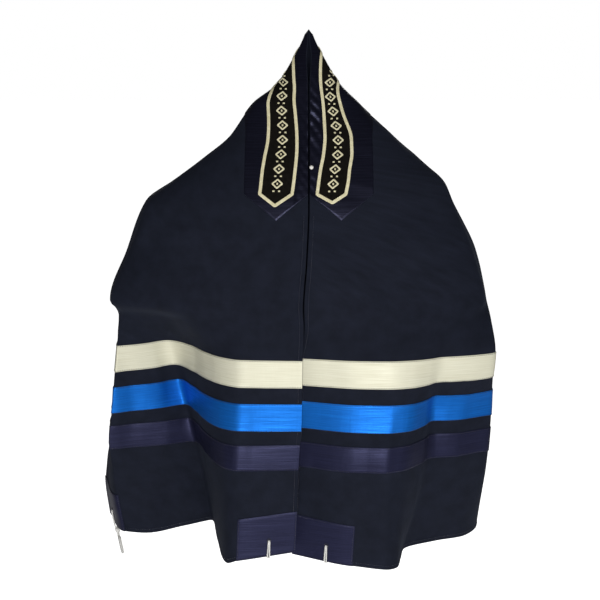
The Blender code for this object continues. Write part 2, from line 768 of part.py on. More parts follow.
def main():
    clear_scene()
    finishes = {name: make_finish(name) for name in FINISHES}
    drape = Drape()
    add_cloth(drape, finishes)
    add_stripes(drape, finishes)
    add_corner_patches(drape, finishes)
    add_neck_band(drape, finishes)
    add_border(drape, finishes)
    add_neck_bead(drape, finishes)
    add_tassels(drape, finishes)


main()
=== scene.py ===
"""The looks of a wool prayer shawl, worn over the head and hanging open from its peak.

The shawl's drape is worked out from the same named sections as its solids, on a finer grid, with
the small folds and creases that the solids leave out. Everything sewn on lies on that grid: silk
stripes, corner patches, the neck band with its ribbon and stitched repeat, hems and tassels.
Tables and sizes are in millimetres, the studio's in metres; +X is to the right, the front looks
along -Y, +Z is up.
"""

import math
from collections import namedtuple

import bmesh
import bpy
import numpy as np
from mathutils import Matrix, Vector

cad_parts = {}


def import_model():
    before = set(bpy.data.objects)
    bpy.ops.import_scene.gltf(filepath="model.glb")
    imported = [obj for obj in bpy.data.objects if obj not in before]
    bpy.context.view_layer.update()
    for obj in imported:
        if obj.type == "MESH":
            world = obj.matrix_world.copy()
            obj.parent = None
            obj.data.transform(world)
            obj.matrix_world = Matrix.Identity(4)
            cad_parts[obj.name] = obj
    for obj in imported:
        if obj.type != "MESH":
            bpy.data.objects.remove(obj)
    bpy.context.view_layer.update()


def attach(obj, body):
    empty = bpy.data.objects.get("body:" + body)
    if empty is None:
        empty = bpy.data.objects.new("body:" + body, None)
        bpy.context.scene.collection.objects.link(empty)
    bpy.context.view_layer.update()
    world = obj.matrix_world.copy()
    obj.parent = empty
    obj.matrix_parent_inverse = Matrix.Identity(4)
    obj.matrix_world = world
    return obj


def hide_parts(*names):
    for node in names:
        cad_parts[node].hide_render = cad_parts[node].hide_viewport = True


MM = 0.001

SIDES = ("left", "right")

# The drape, as in the solids, with a slightly thinner wall
CLOTH_WIDTH = 610.0
CLOTH_WALL = 1.9
PEAK_HEIGHT = 2.0
SLIT_SHARE = 0.58
BAND_SHARE_AT_PEAK = 0.42
RING_STEPS = 60
SKIRT_ROUNDNESS = 0.8
# How much longer the cloth is than the height that it covers, for the weave
WEAVE_SLANT = 1.06

# What is sewn on
SEAM_GAP = 0.35
SMALL_GAP = 0.1
HEM_WIDTH = 7.0
HEM_SWELL = 0.5
HEM_STITCHES_TOP = -300.0
STRIPE_THICKNESS = 0.9
STRIPE_STITCH_INSET = 1.6
PATCH_THICKNESS = 0.9
PATCH_HEIGHT = 73.0
PATCH_STITCH_INSET = 1.8
EYELET_HEIGHT = 29.0
EYELET_RADIUS = 3.2
STITCH_LENGTH = 2.7
STITCH_GAP = 1.6
STITCH_WIDTH = 0.75
STITCH_THICKNESS = 0.55
STITCH_SINK = 0.35
BAND_WIDTH = 108.0
BAND_THICKNESS = 1.0
BAND_CROWN = 105.0
BAND_EASE = 75.0
BAND_END = -270.0
BAND_TIP = -313.0
SPREAD_BELOW = 0.78
SPREAD_AT_CROWN = 0.22
FIELD_THICKNESS = 0.35
RIBBON_WIDTH = 5.5
RIBBON_THICKNESS = 1.0
RIBBON_STEP = 2.0
RIBBON_CROWNS = {"inner": 24.0, "outer": 66.0}
RIBBON_END = 270.0
RIBBON_TIPS = {"left": (56.0, -289.0), "right": (38.0, -284.0)}
CROWN_BEND_STEPS = 25
CROWN_BEND_END = 1.6
PLACE_STEP = 4
BEAD_DIAMETER = 7.0
BEAD_HEIGHT = -227.0
BEAD_DISTANCE = 2.5

# Tassels
CORD_RADIUS = 1.15
LOOP_RADIUS = 1.4
CORD_TWIST = 5.0
CORD_CORNERS = 8
CORD_GROOVE = 0.16
STRAND_PITCH = 2.5
STRANDS_ACROSS = 4
STRANDS_DEEP = 2
KNOT_DEPTH = 7.0
KNOT_TURNS = 5
KNOT_FROM_HEM = 13.0
HANK_DROP = 34.0
HANK_TAIL = 18.0
HANK_TAIL_END = 8.0
KNOT_PADDING = (0.4, 0.7)
KNOT_CLEARANCE = 1.0
HANGING_KNOT_Y = -0.4
LOOP_CLEARANCE = 0.9
LINING_CLEARANCE = 0.5
CORD_STEP = 0.7
WINDING_STEP = 0.6
# The tassel that hangs below its hem; the others are folded up behind theirs
HANGING_TASSEL = "outer_left"
# How far along the hem each eyelet lies from the middle of its patch
EYELETS_ASIDE = {"inner_left": 5.0, "outer_left": 0.0, "inner_right": 7.0, "outer_right": 0.0}

# The stitched repeat, in sizes along the band and across it
THREAD_WIDTH = 2.9
THREAD_THICKNESS = 1.1
REPEAT_LENGTH = 26.0
REPEAT_TOP = 58.0
LOZENGE_MIDDLE = 8.0
LOZENGE_HALF_LENGTH = 7.5
LOZENGE_HALF_WIDTH = 8.5
BAR_HALF_LENGTH = 1.8
DASHES_PLACE = 20.8
DASH_REACH = (3.0, 6.5)

# Tucks in the satin between the ribbon and the front edge
TUCKS_START = 36.0
TUCKS_FADE = 40.0
TUCK_LEANS = {"left": 0.42, "right": -0.34}
TUCK_SHIFTS = {"left": 1.0, "right": 2.6}
TUCK_HEIGHT = 1.15
FINE_TUCK_HEIGHT = 0.15
TUCK_LIFT = 1.3

Ring = namedtuple("Ring", "height left right front side back")
RINGS = (
    Ring(-4, 5, 5, -4, 0, 4),
    Ring(-14, 9, 9, -7, 0, 7),
    Ring(-40, 22, 22, -15, 0, 15),
    Ring(-90, 54, 53, -30, 0, 33),
    Ring(-125, 98, 89, -41, -2, 48),
    Ring(-180, 139, 150, -59, -5, 70),
    Ring(-215, 183, 190, -72, -8, 85),
    Ring(-255, 237, 237, -87, -12, 101),
    Ring(-290, 286, 254, -98, -16, 113),
    Ring(-380, 324, 297, -120, -26, 137),
    Ring(-460, 353, 315, -134, -35, 150),
)
BACK_RING = Ring(-610, 349, 315, -134, -35, 158)
SLIT = RINGS[-1].height

Opening = namedtuple("Opening", "height x half_gap")
OPENING = (
    Opening(-14, 0, 2.0),
    Opening(-40, 0, 4.5),
    Opening(-70, 0, 2.2),
    Opening(-125, 0, 1.4),
    Opening(-290, 0, 1.4),
    Opening(-460, -9, 1.4),
)

Section = namedtuple("Section", "height edge band brow fold wall valley rise crest turn slit")
SECTIONS = {
    "left": (
        Section(-490, (-9, -139), (-112, -134), (-150, -126), (-187, -106), (-222, -74),
                (-255, -48), (-285, -46), (-313, -44), (-334, -28), (-337, 84)),
        Section(-550, (-11, -147), (-113, -141), (-150, -117), (-178, -78), (-210, -22),
                (-248, 12), (-276, -4), (-305, -20), (-337, -34), (-345, 94)),
        Section(-645, (-12, -150), (-113, -148), (-143, -134), (-168, -104), (-197, -42),
                (-230, 24), (-265, 0), (-304, -18), (-347, -38), (-357, 100)),
        Section(-720, (-17, -152), (-118, -158), (-140, -147), (-161, -115), (-186, -48),
                (-212, 14), (-256, -4), (-306, -20), (-356, -36), (-366, 106)),
        Section(-830, (-21, -153), (-122, -164), (-140, -154), (-153, -124), (-171, -38),
                (-192, 46), (-242, 20), (-302, -6), (-346, -10), (-382, 97)),
        Section(-905, (-24, -153), (-125, -168), (-141, -157), (-151, -127), (-165, -30),
                (-182, 68), (-232, 36), (-298, 0), (-336, 4), (-374, 95)),
    ),
    "right": (
        Section(-490, (-7, -130), (90, -133), (138, -130), (178, -125), (210, -116),
                (231, -108), (256, -97), (287, -80), (318, -52), (313, 84)),
        Section(-550, (-16, -128), (89, -149), (136, -151), (177, -143), (205, -131),
                (227, -118), (251, -113), (288, -102), (325, -78), (315, 110)),
        Section(-645, (-17, -125), (90, -158), (134, -160), (170, -149), (198, -118),
                (219, -88), (246, -84), (284, -70), (325, -45), (312, 125)),
        Section(-720, (-22, -128), (85, -169), (129, -172), (160, -158), (195, -116),
                (221, -84), (246, -79), (283, -64), (322, -40), (307, 140)),
        Section(-905, (-29, -131), (75, -160), (131, -160), (155, -143), (163, -105),
                (170, -68), (226, -36), (284, -14), (314, 42), (303, 182)),
    ),
}
HEM = {
    "left": (-882, -893, -901, -902, -904, -905, -905, -905, -903, -900),
    "right": (-894, -905, -912, -914, -912, -910, -907, -905, -903, -898),
}
LINE_SHARES = np.array((0.0, 0.10, 0.21, 0.32, 0.43, 0.54, 0.67, 0.81, 1.0))
LINE_COLUMNS = np.array((0, 4, 6, 8, 10, 12, 14, 16, 18, 22))
BACK_COLUMNS = 12

BackFold = namedtuple("BackFold", "side share width depth")
BACK_FOLDS = (
    BackFold("left", 0.70, 0.045, 15.0),
    BackFold("left", 0.88, 0.060, 11.0),
    BackFold("right", 0.74, 0.050, 13.0),
    BackFold("right", 0.95, 0.040, 9.0),
)

# The fine grid: cells for each column of the solids, and rows
FINE = 4
PANEL_ROWS = 56
SKIRT_ROWS = 24
BAND_COLUMNS = 61
BAND_HEIGHTS = np.concatenate([np.linspace(-6, -60, 16), np.linspace(-62, BAND_END, 90)])
FIELD_COLUMNS = 15
FIELD_DEPTHS = np.concatenate([
    np.linspace(RIBBON_CROWNS["inner"] + 1, RIBBON_CROWNS["outer"], 16),
    np.linspace(RIBBON_CROWNS["outer"] + 2, 100, 16), np.linspace(104, RIBBON_END, 44),
])
TIP_SHARES = np.linspace(0, 1, 9)[1:]
RING_HEIGHTS = np.concatenate([np.linspace(-4, -60, 15), np.linspace(-66, SLIT, 64)])
STRIPES = {"cream": (-545, -592), "blue": (-620, -667), "navy": (-691, -735)}
PATCH_START = -785
PATCH_LIFTS = np.linspace(PATCH_HEIGHT, 0, 15)

# How the worn band pulls the ribbon's long lines nearer the front edge (under 1) or away from it
Pull = namedtuple("Pull", "depth left_inner left_outer right_inner right_outer")
PULLS = (
    Pull(24, 1.00, 1.00, 1.00, 1.00),
    Pull(47, 1.25, 1.00, 0.90, 1.00),
    Pull(75, 1.30, 1.00, 0.96, 0.86),
    Pull(105, 1.12, 0.95, 1.05, 0.76),
    Pull(140, 0.94, 0.97, 1.11, 0.86),
    Pull(178, 0.83, 1.01, 1.08, 0.99),
    Pull(202, 0.80, 1.03, 0.96, 0.98),
    Pull(236, 0.88, 1.05, 0.66, 0.88),
    Pull(270, 1.00, 1.05, 0.48, 0.82),
)

# Creases drawn one by one: from (t, z) to (t, z), where t is the distance from the front edge round
# the cloth; half width, depth (negative stands out), and how far the line bows sideways
Crease = namedtuple("Crease", "t0 z0 t1 z1 width depth bow")
CREASES = {
    "left": (
        Crease(60, -345, 250, -300, 16, 1.8, 10),
        Crease(120, -430, 330, -350, 22, 3.0, 16),
        Crease(210, -250, 330, -420, 20, 2.4, -14),
        Crease(290, -300, 372, -452, 14, 3.2, 8),
        Crease(40, -400, 160, -520, 26, 1.6, 12),
        Crease(70, -480, 90, -545, 12, 0.9, 3),
        Crease(54, -740, 66, -815, 14, 1.1, 4),
        Crease(95, -590, 118, -880, 13, 1.5, -6),
        Crease(240, -560, 262, -900, 15, 2.2, 7),
        Crease(330, -480, 352, -700, 15, 2.6, -6),
        Crease(356, -700, 372, -890, 12, -1.8, 5),
        Crease(402, -500, 420, -890, 16, 2.4, 8),
        Crease(470, -520, 492, -880, 18, 3.0, -6),
        Crease(545, -470, 560, -860, 15, 2.2, 7),
        Crease(500, -220, 560, -440, 22, 4.0, 12),
        Crease(610, -180, 700, -470, 20, 3.4, -14),
        Crease(700, -240, 760, -560, 18, 3.0, 10),
    ),
    "right": (
        Crease(70, -345, 230, -300, 18, 1.6, 10),
        Crease(90, -455, 300, -370, 22, 2.6, 16),
        Crease(180, -240, 305, -400, 18, 2.2, -12),
        Crease(250, -290, 345, -450, 15, 3.0, 9),
        Crease(30, -500, 70, -620, 18, 1.0, 5),
        Crease(30, -700, 44, -800, 12, 1.2, -3),
        Crease(118, -640, 130, -905, 15, 1.7, 6),
        Crease(176, -600, 186, -900, 11, 1.8, -4),
        Crease(262, -560, 276, -890, 16, 2.3, 5),
        Crease(318, -520, 330, -880, 13, -1.8, 5),
        Crease(372, -480, 392, -860, 15, 2.6, -7),
        Crease(448, -500, 470, -880, 18, 2.8, 8),
        Crease(520, -520, 536, -870, 14, 2.0, -5),
        Crease(480, -210, 560, -450, 20, 3.8, -12),
        Crease(590, -190, 660, -520, 18, 3.2, 10),
        Crease(690, -260, 742, -570, 16, 2.6, -8),
    ),
}


def smooth_step(share):
    return share * share * (3 - 2 * share)


def smooth_rows(knots, values, at):
    """Monotone cubics, one for each row of knots and values, read at one place in each row."""
    knots = np.broadcast_to(np.asarray(knots, float), values.shape)
    steps = np.diff(knots, axis=1)
    slopes = np.diff(values, axis=1) / steps
    tangents = np.empty_like(values)
    tangents[:, 0], tangents[:, -1] = slopes[:, 0], slopes[:, -1]
    before, after = slopes[:, :-1], slopes[:, 1:]
    same_way = before * after > 0
    sums = np.where(same_way, before + after, 1.0)
    tangents[:, 1:-1] = np.where(same_way, 2 * before * after / sums, 0.0)
    at = np.clip(at, knots[:, 0], knots[:, -1])
    cell = np.clip((knots <= at[:, None]).sum(axis=1) - 1, 0, steps.shape[1] - 1)
    row = np.arange(len(at))
    width = steps[row, cell]
    t = (at - knots[row, cell]) / width
    return (
        (1 + 2 * t) * (1 - t) ** 2 * values[row, cell]
        + t * (1 - t) ** 2 * width * tangents[row, cell]
        + t * t * (3 - 2 * t) * values[row, cell + 1]
        + t * t * (t - 1) * width * tangents[row, cell + 1]
    )


def smooth_at(knots, values, at):
    """One monotone cubic, read at many places."""
    at = np.atleast_1d(np.asarray(at, float))
    values = np.broadcast_to(np.asarray(values, float), (len(at), len(values)))
    return smooth_rows(np.asarray(knots, float), values, at)


def run_lengths(points):
    steps = np.linalg.norm(np.diff(points, axis=0), axis=1)
    return np.concatenate([[0.0], np.cumsum(steps)])


def half_ring(ring, side):
    """Points from the front edge round one side to the middle of the back, (x, y) each."""
    sign = -1 if side == "left" else 1
    heights = [-row.height for row in OPENING]
    centre = smooth_at(heights, [row.x for row in OPENING], -ring.height)[0]
    half_gap = smooth_at(heights, [row.half_gap for row in OPENING], -ring.height)[0]
    reach = sign * (ring.left if side == "left" else ring.right)
    start = centre + sign * half_gap
    turn = np.linspace(0, math.pi / 2, RING_STEPS)
    front = np.stack(
        [start + (reach - start) * np.sin(turn), ring.side + (ring.front - ring.side) * np.cos(turn)],
        axis=1,
    )
    back = np.stack(
        [reach * np.cos(turn), ring.side + (ring.back - ring.side) * np.sin(turn)], axis=1
    )
    return np.concatenate([front, back[1:]])


def points_along(path, lengths):
    run = run_lengths(path)
    return np.stack([np.interp(lengths, run, path[:, axis]) for axis in (0, 1)], axis=1)


def front_lines_on(ring, side):
    path = half_ring(ring, side)
    half_length = run_lengths(path)[-1]
    slit = SLIT_SHARE * half_length
    band = min(BAND_WIDTH, BAND_SHARE_AT_PEAK * half_length)
    return points_along(path, np.concatenate([[0.0], band + (slit - band) * LINE_SHARES]))


def back_line_on(ring, side):
    path = half_ring(ring, side)
    half_length = run_lengths(path)[-1]
    shares = np.linspace(SLIT_SHARE, 1.0, BACK_COLUMNS + 1)
    points = points_along(path, shares * half_length)
    for fold in BACK_FOLDS:
        if fold.side == side:
            dip = fold.depth * np.exp(-(((shares - fold.share) / fold.width) ** 2))
            points[:, 1] -= dip * min(1.0, ring.height / SLIT)
    return points


def lines_at(depths, lines, heights):
    """The drape's lines at many heights, as (heights, lines, 2)."""
    found = np.empty((len(heights), lines.shape[1], 2))
    for line in range(lines.shape[1]):
        for axis in (0, 1):
            found[:, line, axis] = smooth_at(depths, lines[:, line, axis], -heights)
    return found


def front_panel(side, columns, heights):
    """Points of a front panel at columns of the solids' grid and at heights, row by column."""
    sections = SECTIONS[side]
    depths = np.array([-ring.height for ring in RINGS] + [-section.height for section in sections])
    lines = [front_lines_on(ring, side) for ring in RINGS]
    lines = np.array(lines + [np.array(section[1:], float) for section in sections])
    flat = heights.ravel()
    at_height = lines_at(depths, lines, flat)
    steps = np.linalg.norm(np.diff(at_height, axis=1), axis=2)
    run = np.concatenate([np.zeros((len(flat), 1)), np.cumsum(steps, axis=1)], axis=1)
    column = np.tile(columns, heights.shape[0])
    piece = np.clip(np.searchsorted(LINE_COLUMNS, column, side="right") - 1, 0, len(LINE_COLUMNS) - 2)
    share = (column - LINE_COLUMNS[piece]) / np.diff(LINE_COLUMNS)[piece]
    row = np.arange(len(flat))
    at = run[row, piece] * (1 - share) + run[row, piece + 1] * share
    place = [smooth_rows(run, at_height[:, :, axis], at) for axis in (0, 1)]
    return np.stack([*place, flat], axis=1).reshape(*heights.shape, 3)


def back_panel(columns, heights):
    rings = RINGS + (BACK_RING,)
    depths = np.array([-ring.height for ring in rings])
    lines = np.array([
        np.concatenate([back_line_on(ring, "left"), back_line_on(ring, "right")[::-1][1:]])
        for ring in rings
    ])
    flat = heights.ravel()
    at_height = lines_at(depths, lines, flat)
    column = np.tile(columns, heights.shape[0])
    knots = np.arange(lines.shape[1], dtype=float)
    place = [smooth_rows(knots, at_height[:, :, axis], column) for axis in (0, 1)]
    return np.stack([*place, flat], axis=1).reshape(*heights.shape, 3)


class Shawl:
    """The fine cloth: points, outward normals, and grids of point numbers.

    Columns run clockwise seen from above, from the left front edge round the back to the right
    one. rings goes down to the side openings, front holds each side's columns from the peak to
    the hem, and skirt is the back's rounded hem. t is each point's distance from its side's front
    edge, measured round the cloth.
    """

    def __init__(self):
        front = np.arange(LINE_COLUMNS[-1] * FINE + 1) / FINE
        back = np.arange(2 * BACK_COLUMNS * FINE + 1) / FINE
        rows = len(RING_HEIGHTS)
        self.heights = np.array(sorted(
            set(np.linspace(SLIT, PATCH_START, PANEL_ROWS).round(2))
            | {edge for pair in STRIPES.values() for edge in pair}, reverse=True,
        ), float)
        grids = {}
        for side in SIDES:
            hem = smooth_at(LINE_COLUMNS, HEM[side], front)
            level = np.concatenate([RING_HEIGHTS, self.heights[1:]])
            height_rows = np.repeat(level[:, None], len(front), axis=1)
            height_rows = np.vstack([height_rows, hem[None, :] + PATCH_LIFTS[:, None]])
            grid = front_panel(side, front, height_rows)
            grids[side] = grid if side == "left" else grid[:, ::-1]
        middle = back_panel(back, np.repeat(RING_HEIGHTS[:, None], len(back), axis=1))

        self.points = [np.array([[0.0, 0.0, PEAK_HEIGHT]])]
        self.count = 1
        left, right = self.number(grids["left"]), self.number(grids["right"])
        around = np.empty((rows, len(back)), int)
        around[:, 1:-1] = self.number(middle[:, 1:-1])
        around[:, 0], around[:, -1] = left[:rows, -1], right[:rows, 0]
        self.rings = np.concatenate([left[:rows], around[:, 1:-1], right[:rows]], axis=1)
        self.middle = left.shape[1] - 1 + BACK_COLUMNS * FINE

        spine = np.vstack([[0.0, 0.0, 0.0], middle[:, middle.shape[1] // 2]])
        drop = CLOTH_WIDTH - run_lengths(spine)[-1]
        across = np.sin(math.pi * back / back[-1]) ** SKIRT_ROUNDNESS
        skirt_shares = np.linspace(0, 1, SKIRT_ROWS + 1)[1:, None]
        skirt = back_panel(back, SLIT - drop * across[None, :] * skirt_shares)
        skirt_ids = np.empty((len(skirt) + 1, len(back)), int)
        skirt_ids[0] = around[-1]
        skirt_ids[1:, 1:-1] = self.number(skirt[:, 1:-1])
        skirt_ids[1:, 0], skirt_ids[1:, -1] = around[-1, 0], around[-1, -1]
        self.skirt = skirt_ids
        self.front = {"left": left, "right": right}
        self.ring_rows = rows
        self.points = np.concatenate(self.points)
        self.triangles = np.concatenate([
            cap_triangles(0, self.rings[0]), grid_triangles(self.rings),
            grid_triangles(left[rows - 1:]), grid_triangles(right[rows - 1:]),
            grid_triangles(self.skirt),
        ])
        self.normals = point_normals(self.points, self.triangles)
        self.measure()
        self.lay_creases()
        self.swell = self.hem_swell()

    def number(self, grid):
        ids = np.arange(self.count, self.count + grid.shape[0] * grid.shape[1])
        self.points.append(grid.reshape(-1, 3))
        self.count += len(ids)
        return ids.reshape(grid.shape[:2])

    def runs_of(self, ids):
        steps = np.linalg.norm(np.diff(self.points[ids], axis=1), axis=2)
        return np.concatenate([np.zeros((len(ids), 1)), np.cumsum(steps, axis=1)], axis=1)

    def measure(self):
        """Gives each point its t, its side, and flat coordinates for the weave."""
        self.t = np.zeros(self.count)
        self.is_left = np.ones(self.count, bool)
        self.flat = np.zeros((self.count, 2))
        ring_runs = self.runs_of(self.rings)
        total = ring_runs[:, -1:]
        skirt_runs = self.runs_of(self.skirt) + ring_runs[-1, self.front["left"].shape[1] - 1]
        self.t[self.skirt] = np.minimum(skirt_runs, ring_runs[-1, -1] - skirt_runs)
        self.flat[self.skirt, 0] = skirt_runs
        for side, ids in self.front.items():
            runs = self.runs_of(ids)
            run = runs if side == "left" else runs[:, -1:] - runs
            self.t[ids] = run
            self.flat[ids, 0] = run if side == "left" else ring_runs[-1, -1] - run
        self.t[self.rings] = np.minimum(ring_runs, total - ring_runs)
        self.flat[self.rings, 0] = ring_runs
        self.is_left[self.rings[:, self.middle:]] = False
        self.is_left[self.front["right"]] = False
        self.is_left[self.skirt[1:, self.skirt.shape[1] // 2:]] = False
        self.flat[:, 1] = -self.points[:, 2] * WEAVE_SLANT

    def lay_creases(self):
        z = self.points[:, 2]
        sunk = np.zeros(self.count)
        for side, here in (("left", self.is_left), ("right", ~self.is_left)):
            sunk[here] = crease_depth(side, self.t[here], z[here])
            sunk[here] += small_ripple(self.flat[here, 0], z[here])
        clear_depth, fade = 60, 120
        sunk *= np.clip((-z - clear_depth) / fade, 0, 1)
        self.points = self.points - self.normals * sunk[:, None]
        self.normals = point_normals(self.points, self.triangles)

    def hem_swell(self):
        """The turned hem stands out a little along every edge of the cloth."""
        swell = np.zeros(self.count)
        for side, grid in self.front.items():
            front, slit = (0, -1) if side == "left" else (-1, 0)
            swell[grid[-2:]] = HEM_SWELL
            swell[grid[:, front]] = HEM_SWELL
            swell[grid[self.ring_rows:, slit]] = HEM_SWELL
        swell[self.skirt[-2:]] = HEM_SWELL
        return swell

    def row_between(self, side, z):
        """One side's row at a height: its points from the front edge, and their normals."""
        on_rings = z >= SLIT
        ids = self.rings if on_rings else self.front[side][self.ring_rows - 1:]
        if side == "right":
            ids = ids[:, ::-1]
        levels = self.points[ids[:, 0 if on_rings else ids.shape[1] // 2], 2]
        row = int(np.clip(np.searchsorted(-levels, -z, side="right") - 1, 0, len(ids) - 2))
        share = (z - levels[row]) / (levels[row + 1] - levels[row])
        points = self.points[ids[row]] * (1 - share) + self.points[ids[row + 1]] * share
        normals = self.normals[ids[row]] * (1 - share) + self.normals[ids[row + 1]] * share
        return points, normals

    def stripe_rows(self, colour):
        """The panel rows along a stripe's top and bottom edges."""
        return [int(np.argmin(abs(self.heights - edge))) for edge in STRIPES[colour]]

    def at(self, side, t, z):
        """The point and normal at a distance t from a front edge, at a height."""
        points, normals = self.row_between(side, z)
        run = run_lengths(points)
        point = np.array([np.interp(t, run, points[:, axis]) for axis in range(3)])
        normal = np.array([np.interp(t, run, normals[:, axis]) for axis in range(3)])
        return point, normal / np.linalg.norm(normal)

    def half_length(self, side, z):
        """From the front edge to the middle of the back, above the side openings."""
        points, _ = self.row_between(side, z)
        return run_lengths(points[: self.middle + 1])[-1]


def grid_triangles(ids):
    upper_left, upper_right = ids[:-1, :-1].ravel(), ids[:-1, 1:].ravel()
    lower_left, lower_right = ids[1:, :-1].ravel(), ids[1:, 1:].ravel()
    triangles = np.concatenate([
        np.stack([upper_left, upper_right, lower_right], axis=1),
        np.stack([upper_left, lower_right, lower_left], axis=1),
    ])
    whole = (
        (triangles[:, 0] != triangles[:, 1])
        & (triangles[:, 1] != triangles[:, 2])
        & (triangles[:, 0] != triangles[:, 2])
    )
    return triangles[whole]


def cap_triangles(apex, ring):
    return np.stack([np.full(len(ring) - 1, apex), ring[1:], ring[:-1]], axis=1)


def point_normals(points, triangles):
    corners = points[triangles]
    faces = np.cross(corners[:, 1] - corners[:, 0], corners[:, 2] - corners[:, 0])
    normals = np.zeros_like(points)
    for corner in range(3):
        np.add.at(normals, triangles[:, corner], faces)
    length = np.linalg.norm(normals, axis=1, keepdims=True)
    return normals / np.maximum(length, 1e-9)


def crease_depth(side, t, z):
    """How far the drawn creases sink the cloth at (t, z)."""
    sunk = np.zeros_like(t)
    end_share = 0.3
    for crease in CREASES[side]:
        along = np.array((crease.t1 - crease.t0, crease.z1 - crease.z0), float)
        length = np.linalg.norm(along)
        along /= length
        share = ((t - crease.t0) * along[0] + (z - crease.z0) * along[1]) / length
        off = (t - crease.t0) * -along[1] + (z - crease.z0) * along[0]
        off = off - crease.bow * np.sin(np.clip(share, 0, 1) * math.pi)
        ends = np.clip(share / end_share, 0, 1) * np.clip((1 - share) / end_share, 0, 1)
        sunk += crease.depth * smooth_step(ends) * np.exp(-((off / crease.width) ** 2))
    return sunk


def small_ripple(u, z):
    """Slight unevenness everywhere, as in cloth that has been folded and hung."""
    slow_height, quick_height = 0.55, 0.16
    slow = np.sin(u / 37 + 0.8 * np.sin(z / 71)) * np.sin(z / 93 + u / 160)
    quick = np.sin(u / 15.5 + z / 40) * np.sin(z / 29 - u / 57)
    return slow_height * slow + quick_height * quick


def new_mesh(name, points, faces, material, flat=None):
    mesh = bpy.data.meshes.new(name)
    faces = faces.tolist() if isinstance(faces, np.ndarray) else faces
    mesh.from_pydata((np.asarray(points) * MM).tolist(), [], faces)
    mesh.shade_smooth()
    mesh.materials.append(material)
    if flat is not None:
        layer = mesh.uv_layers.new(name="Weave")
        corner_points = np.empty(len(mesh.loops), int)
        mesh.loops.foreach_get("vertex_index", corner_points)
        layer.data.foreach_set("uv", (flat[corner_points] * MM).ravel())
    obj = bpy.data.objects.new(name, mesh)
    bpy.context.scene.collection.objects.link(obj)
    return obj


def settle(obj, slot, *nodes):
    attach(obj, "root")
    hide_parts(*nodes)
    return obj


def add_skin(name, shawl, triangles, lift, thickness, material, swell=None):
    """A thin piece made of the cloth's own triangles, moved out; inwards if thickness < 0."""
    used, packed = np.unique(triangles, return_inverse=True)
    rise = np.full(len(used), float(lift))
    if swell is not None:
        rise += swell[used]
    points = shawl.points[used] + shawl.normals[used] * rise[:, None]
    obj = new_mesh(name, points, packed.reshape(-1, 3), material, shawl.flat[used])
    add_wall(obj, thickness)
    return obj


def add_wall(obj, thickness):
    wall = obj.modifiers.new("Wall", "SOLIDIFY")
    wall.thickness = abs(thickness) * MM
    wall.offset = 1.0 if thickness > 0 else -1.0
    even = obj.modifiers.new("Even shading", "WEIGHTED_NORMAL")
    even.keep_sharp = True


class Sweep:
    """Profiles swept along paths and joined into one mesh."""

    def __init__(self):
        self.points, self.faces, self.flat = [], [], []
        self.count = 0

    def along(self, centres, across, outwards, profile, closed=False):
        """profile is (stations or 1, corners, 2): how far each corner lies across and outwards."""
        profile = np.broadcast_to(profile, (len(centres), *profile.shape[-2:]))
        ring = (
            centres[:, None]
            + across[:, None] * profile[:, :, :1]
            + outwards[:, None] * profile[:, :, 1:]
        )
        stations, corners = ring.shape[:2]
        ids = self.count + np.arange(stations * corners).reshape(stations, corners)
        if closed:
            ids = np.vstack([ids, ids[:1]])
        after = np.roll(ids, -1, axis=1)
        quads = np.stack([ids[:-1], ids[1:], after[1:], after[:-1]], axis=2).reshape(-1, 4)
        self.faces.extend(quads.tolist())
        if not closed:
            self.faces.append(ids[0].tolist())
            self.faces.append(ids[-1][::-1].tolist())
        run = np.repeat(run_lengths(centres)[:, None], corners, axis=1)
        girth = 10
        around = np.repeat(np.arange(corners)[None, :] / corners, stations, axis=0)
        self.points.append(ring.reshape(-1, 3))
        self.flat.append(np.stack([run.ravel(), around.ravel() * girth], axis=1))
        self.count += stations * corners

    def ball(self, centre, radius, outwards, rings, sides):
        turn = np.linspace(0, math.pi, rings + 2)[1:-1]
        aslant = (0.3, 0.5, 0.8)
        side = np.cross(outwards, aslant)
        side /= np.linalg.norm(side)
        other = np.cross(outwards, side)
        angle = np.linspace(0, 2 * math.pi, sides, endpoint=False)
        profile = np.array([
            np.stack([np.cos(angle), np.sin(angle)], axis=1) * radius * math.sin(t) for t in turn
        ])
        centres = centre - outwards * np.cos(turn)[:, None] * radius
        count = len(centres)
        self.along(centres, np.tile(other, (count, 1)), np.tile(side, (count, 1)), profile)

    def build(self, name, material):
        return new_mesh(name, np.concatenate(self.points), self.faces, material,
                        np.concatenate(self.flat))


def oval(width, height, corners, squareness=1.0):
    """A flat oval section lying on its base, square-shouldered if squareness is under 1."""
    angle = np.linspace(0, 2 * math.pi, corners, endpoint=False)
    across = np.sign(np.cos(angle)) * np.abs(np.cos(angle)) ** squareness
    up = np.sign(np.sin(angle)) * np.abs(np.sin(angle)) ** squareness
    return np.stack([across * width / 2, (up + 1) * height / 2], axis=1)


def resampled(path, step):
    path = np.asarray(path, float)
    run = run_lengths(path)
    at = np.linspace(0, run[-1], max(3, int(run[-1] / step) + 1))
    return np.stack([np.interp(at, run, path[:, axis]) for axis in range(path.shape[1])], axis=1)


def rounded(path, step):
    """A path through the given points with its corners eased."""
    easing_rounds = 4
    path = resampled(path, step)
    for _ in range(easing_rounds):
        path[1:-1] = (path[:-2] + 2 * path[1:-1] + path[2:]) / 4
    return path


def frames_along(path):
    """Unit tangents, and two directions across the path that turn with it."""
    tangents = np.gradient(path, axis=0)
    tangents /= np.linalg.norm(tangents, axis=1, keepdims=True)
    start = np.array((0.0, 1.0, 0.0)) if abs(tangents[0, 1]) < 0.9 else np.array((1.0, 0.0, 0.0))
    outwards = np.empty_like(path)
    for place, tangent in enumerate(tangents):
        start = start - tangent * start.dot(tangent)
        start /= np.linalg.norm(start)
        outwards[place] = start
    return tangents, np.cross(tangents, outwards), outwards


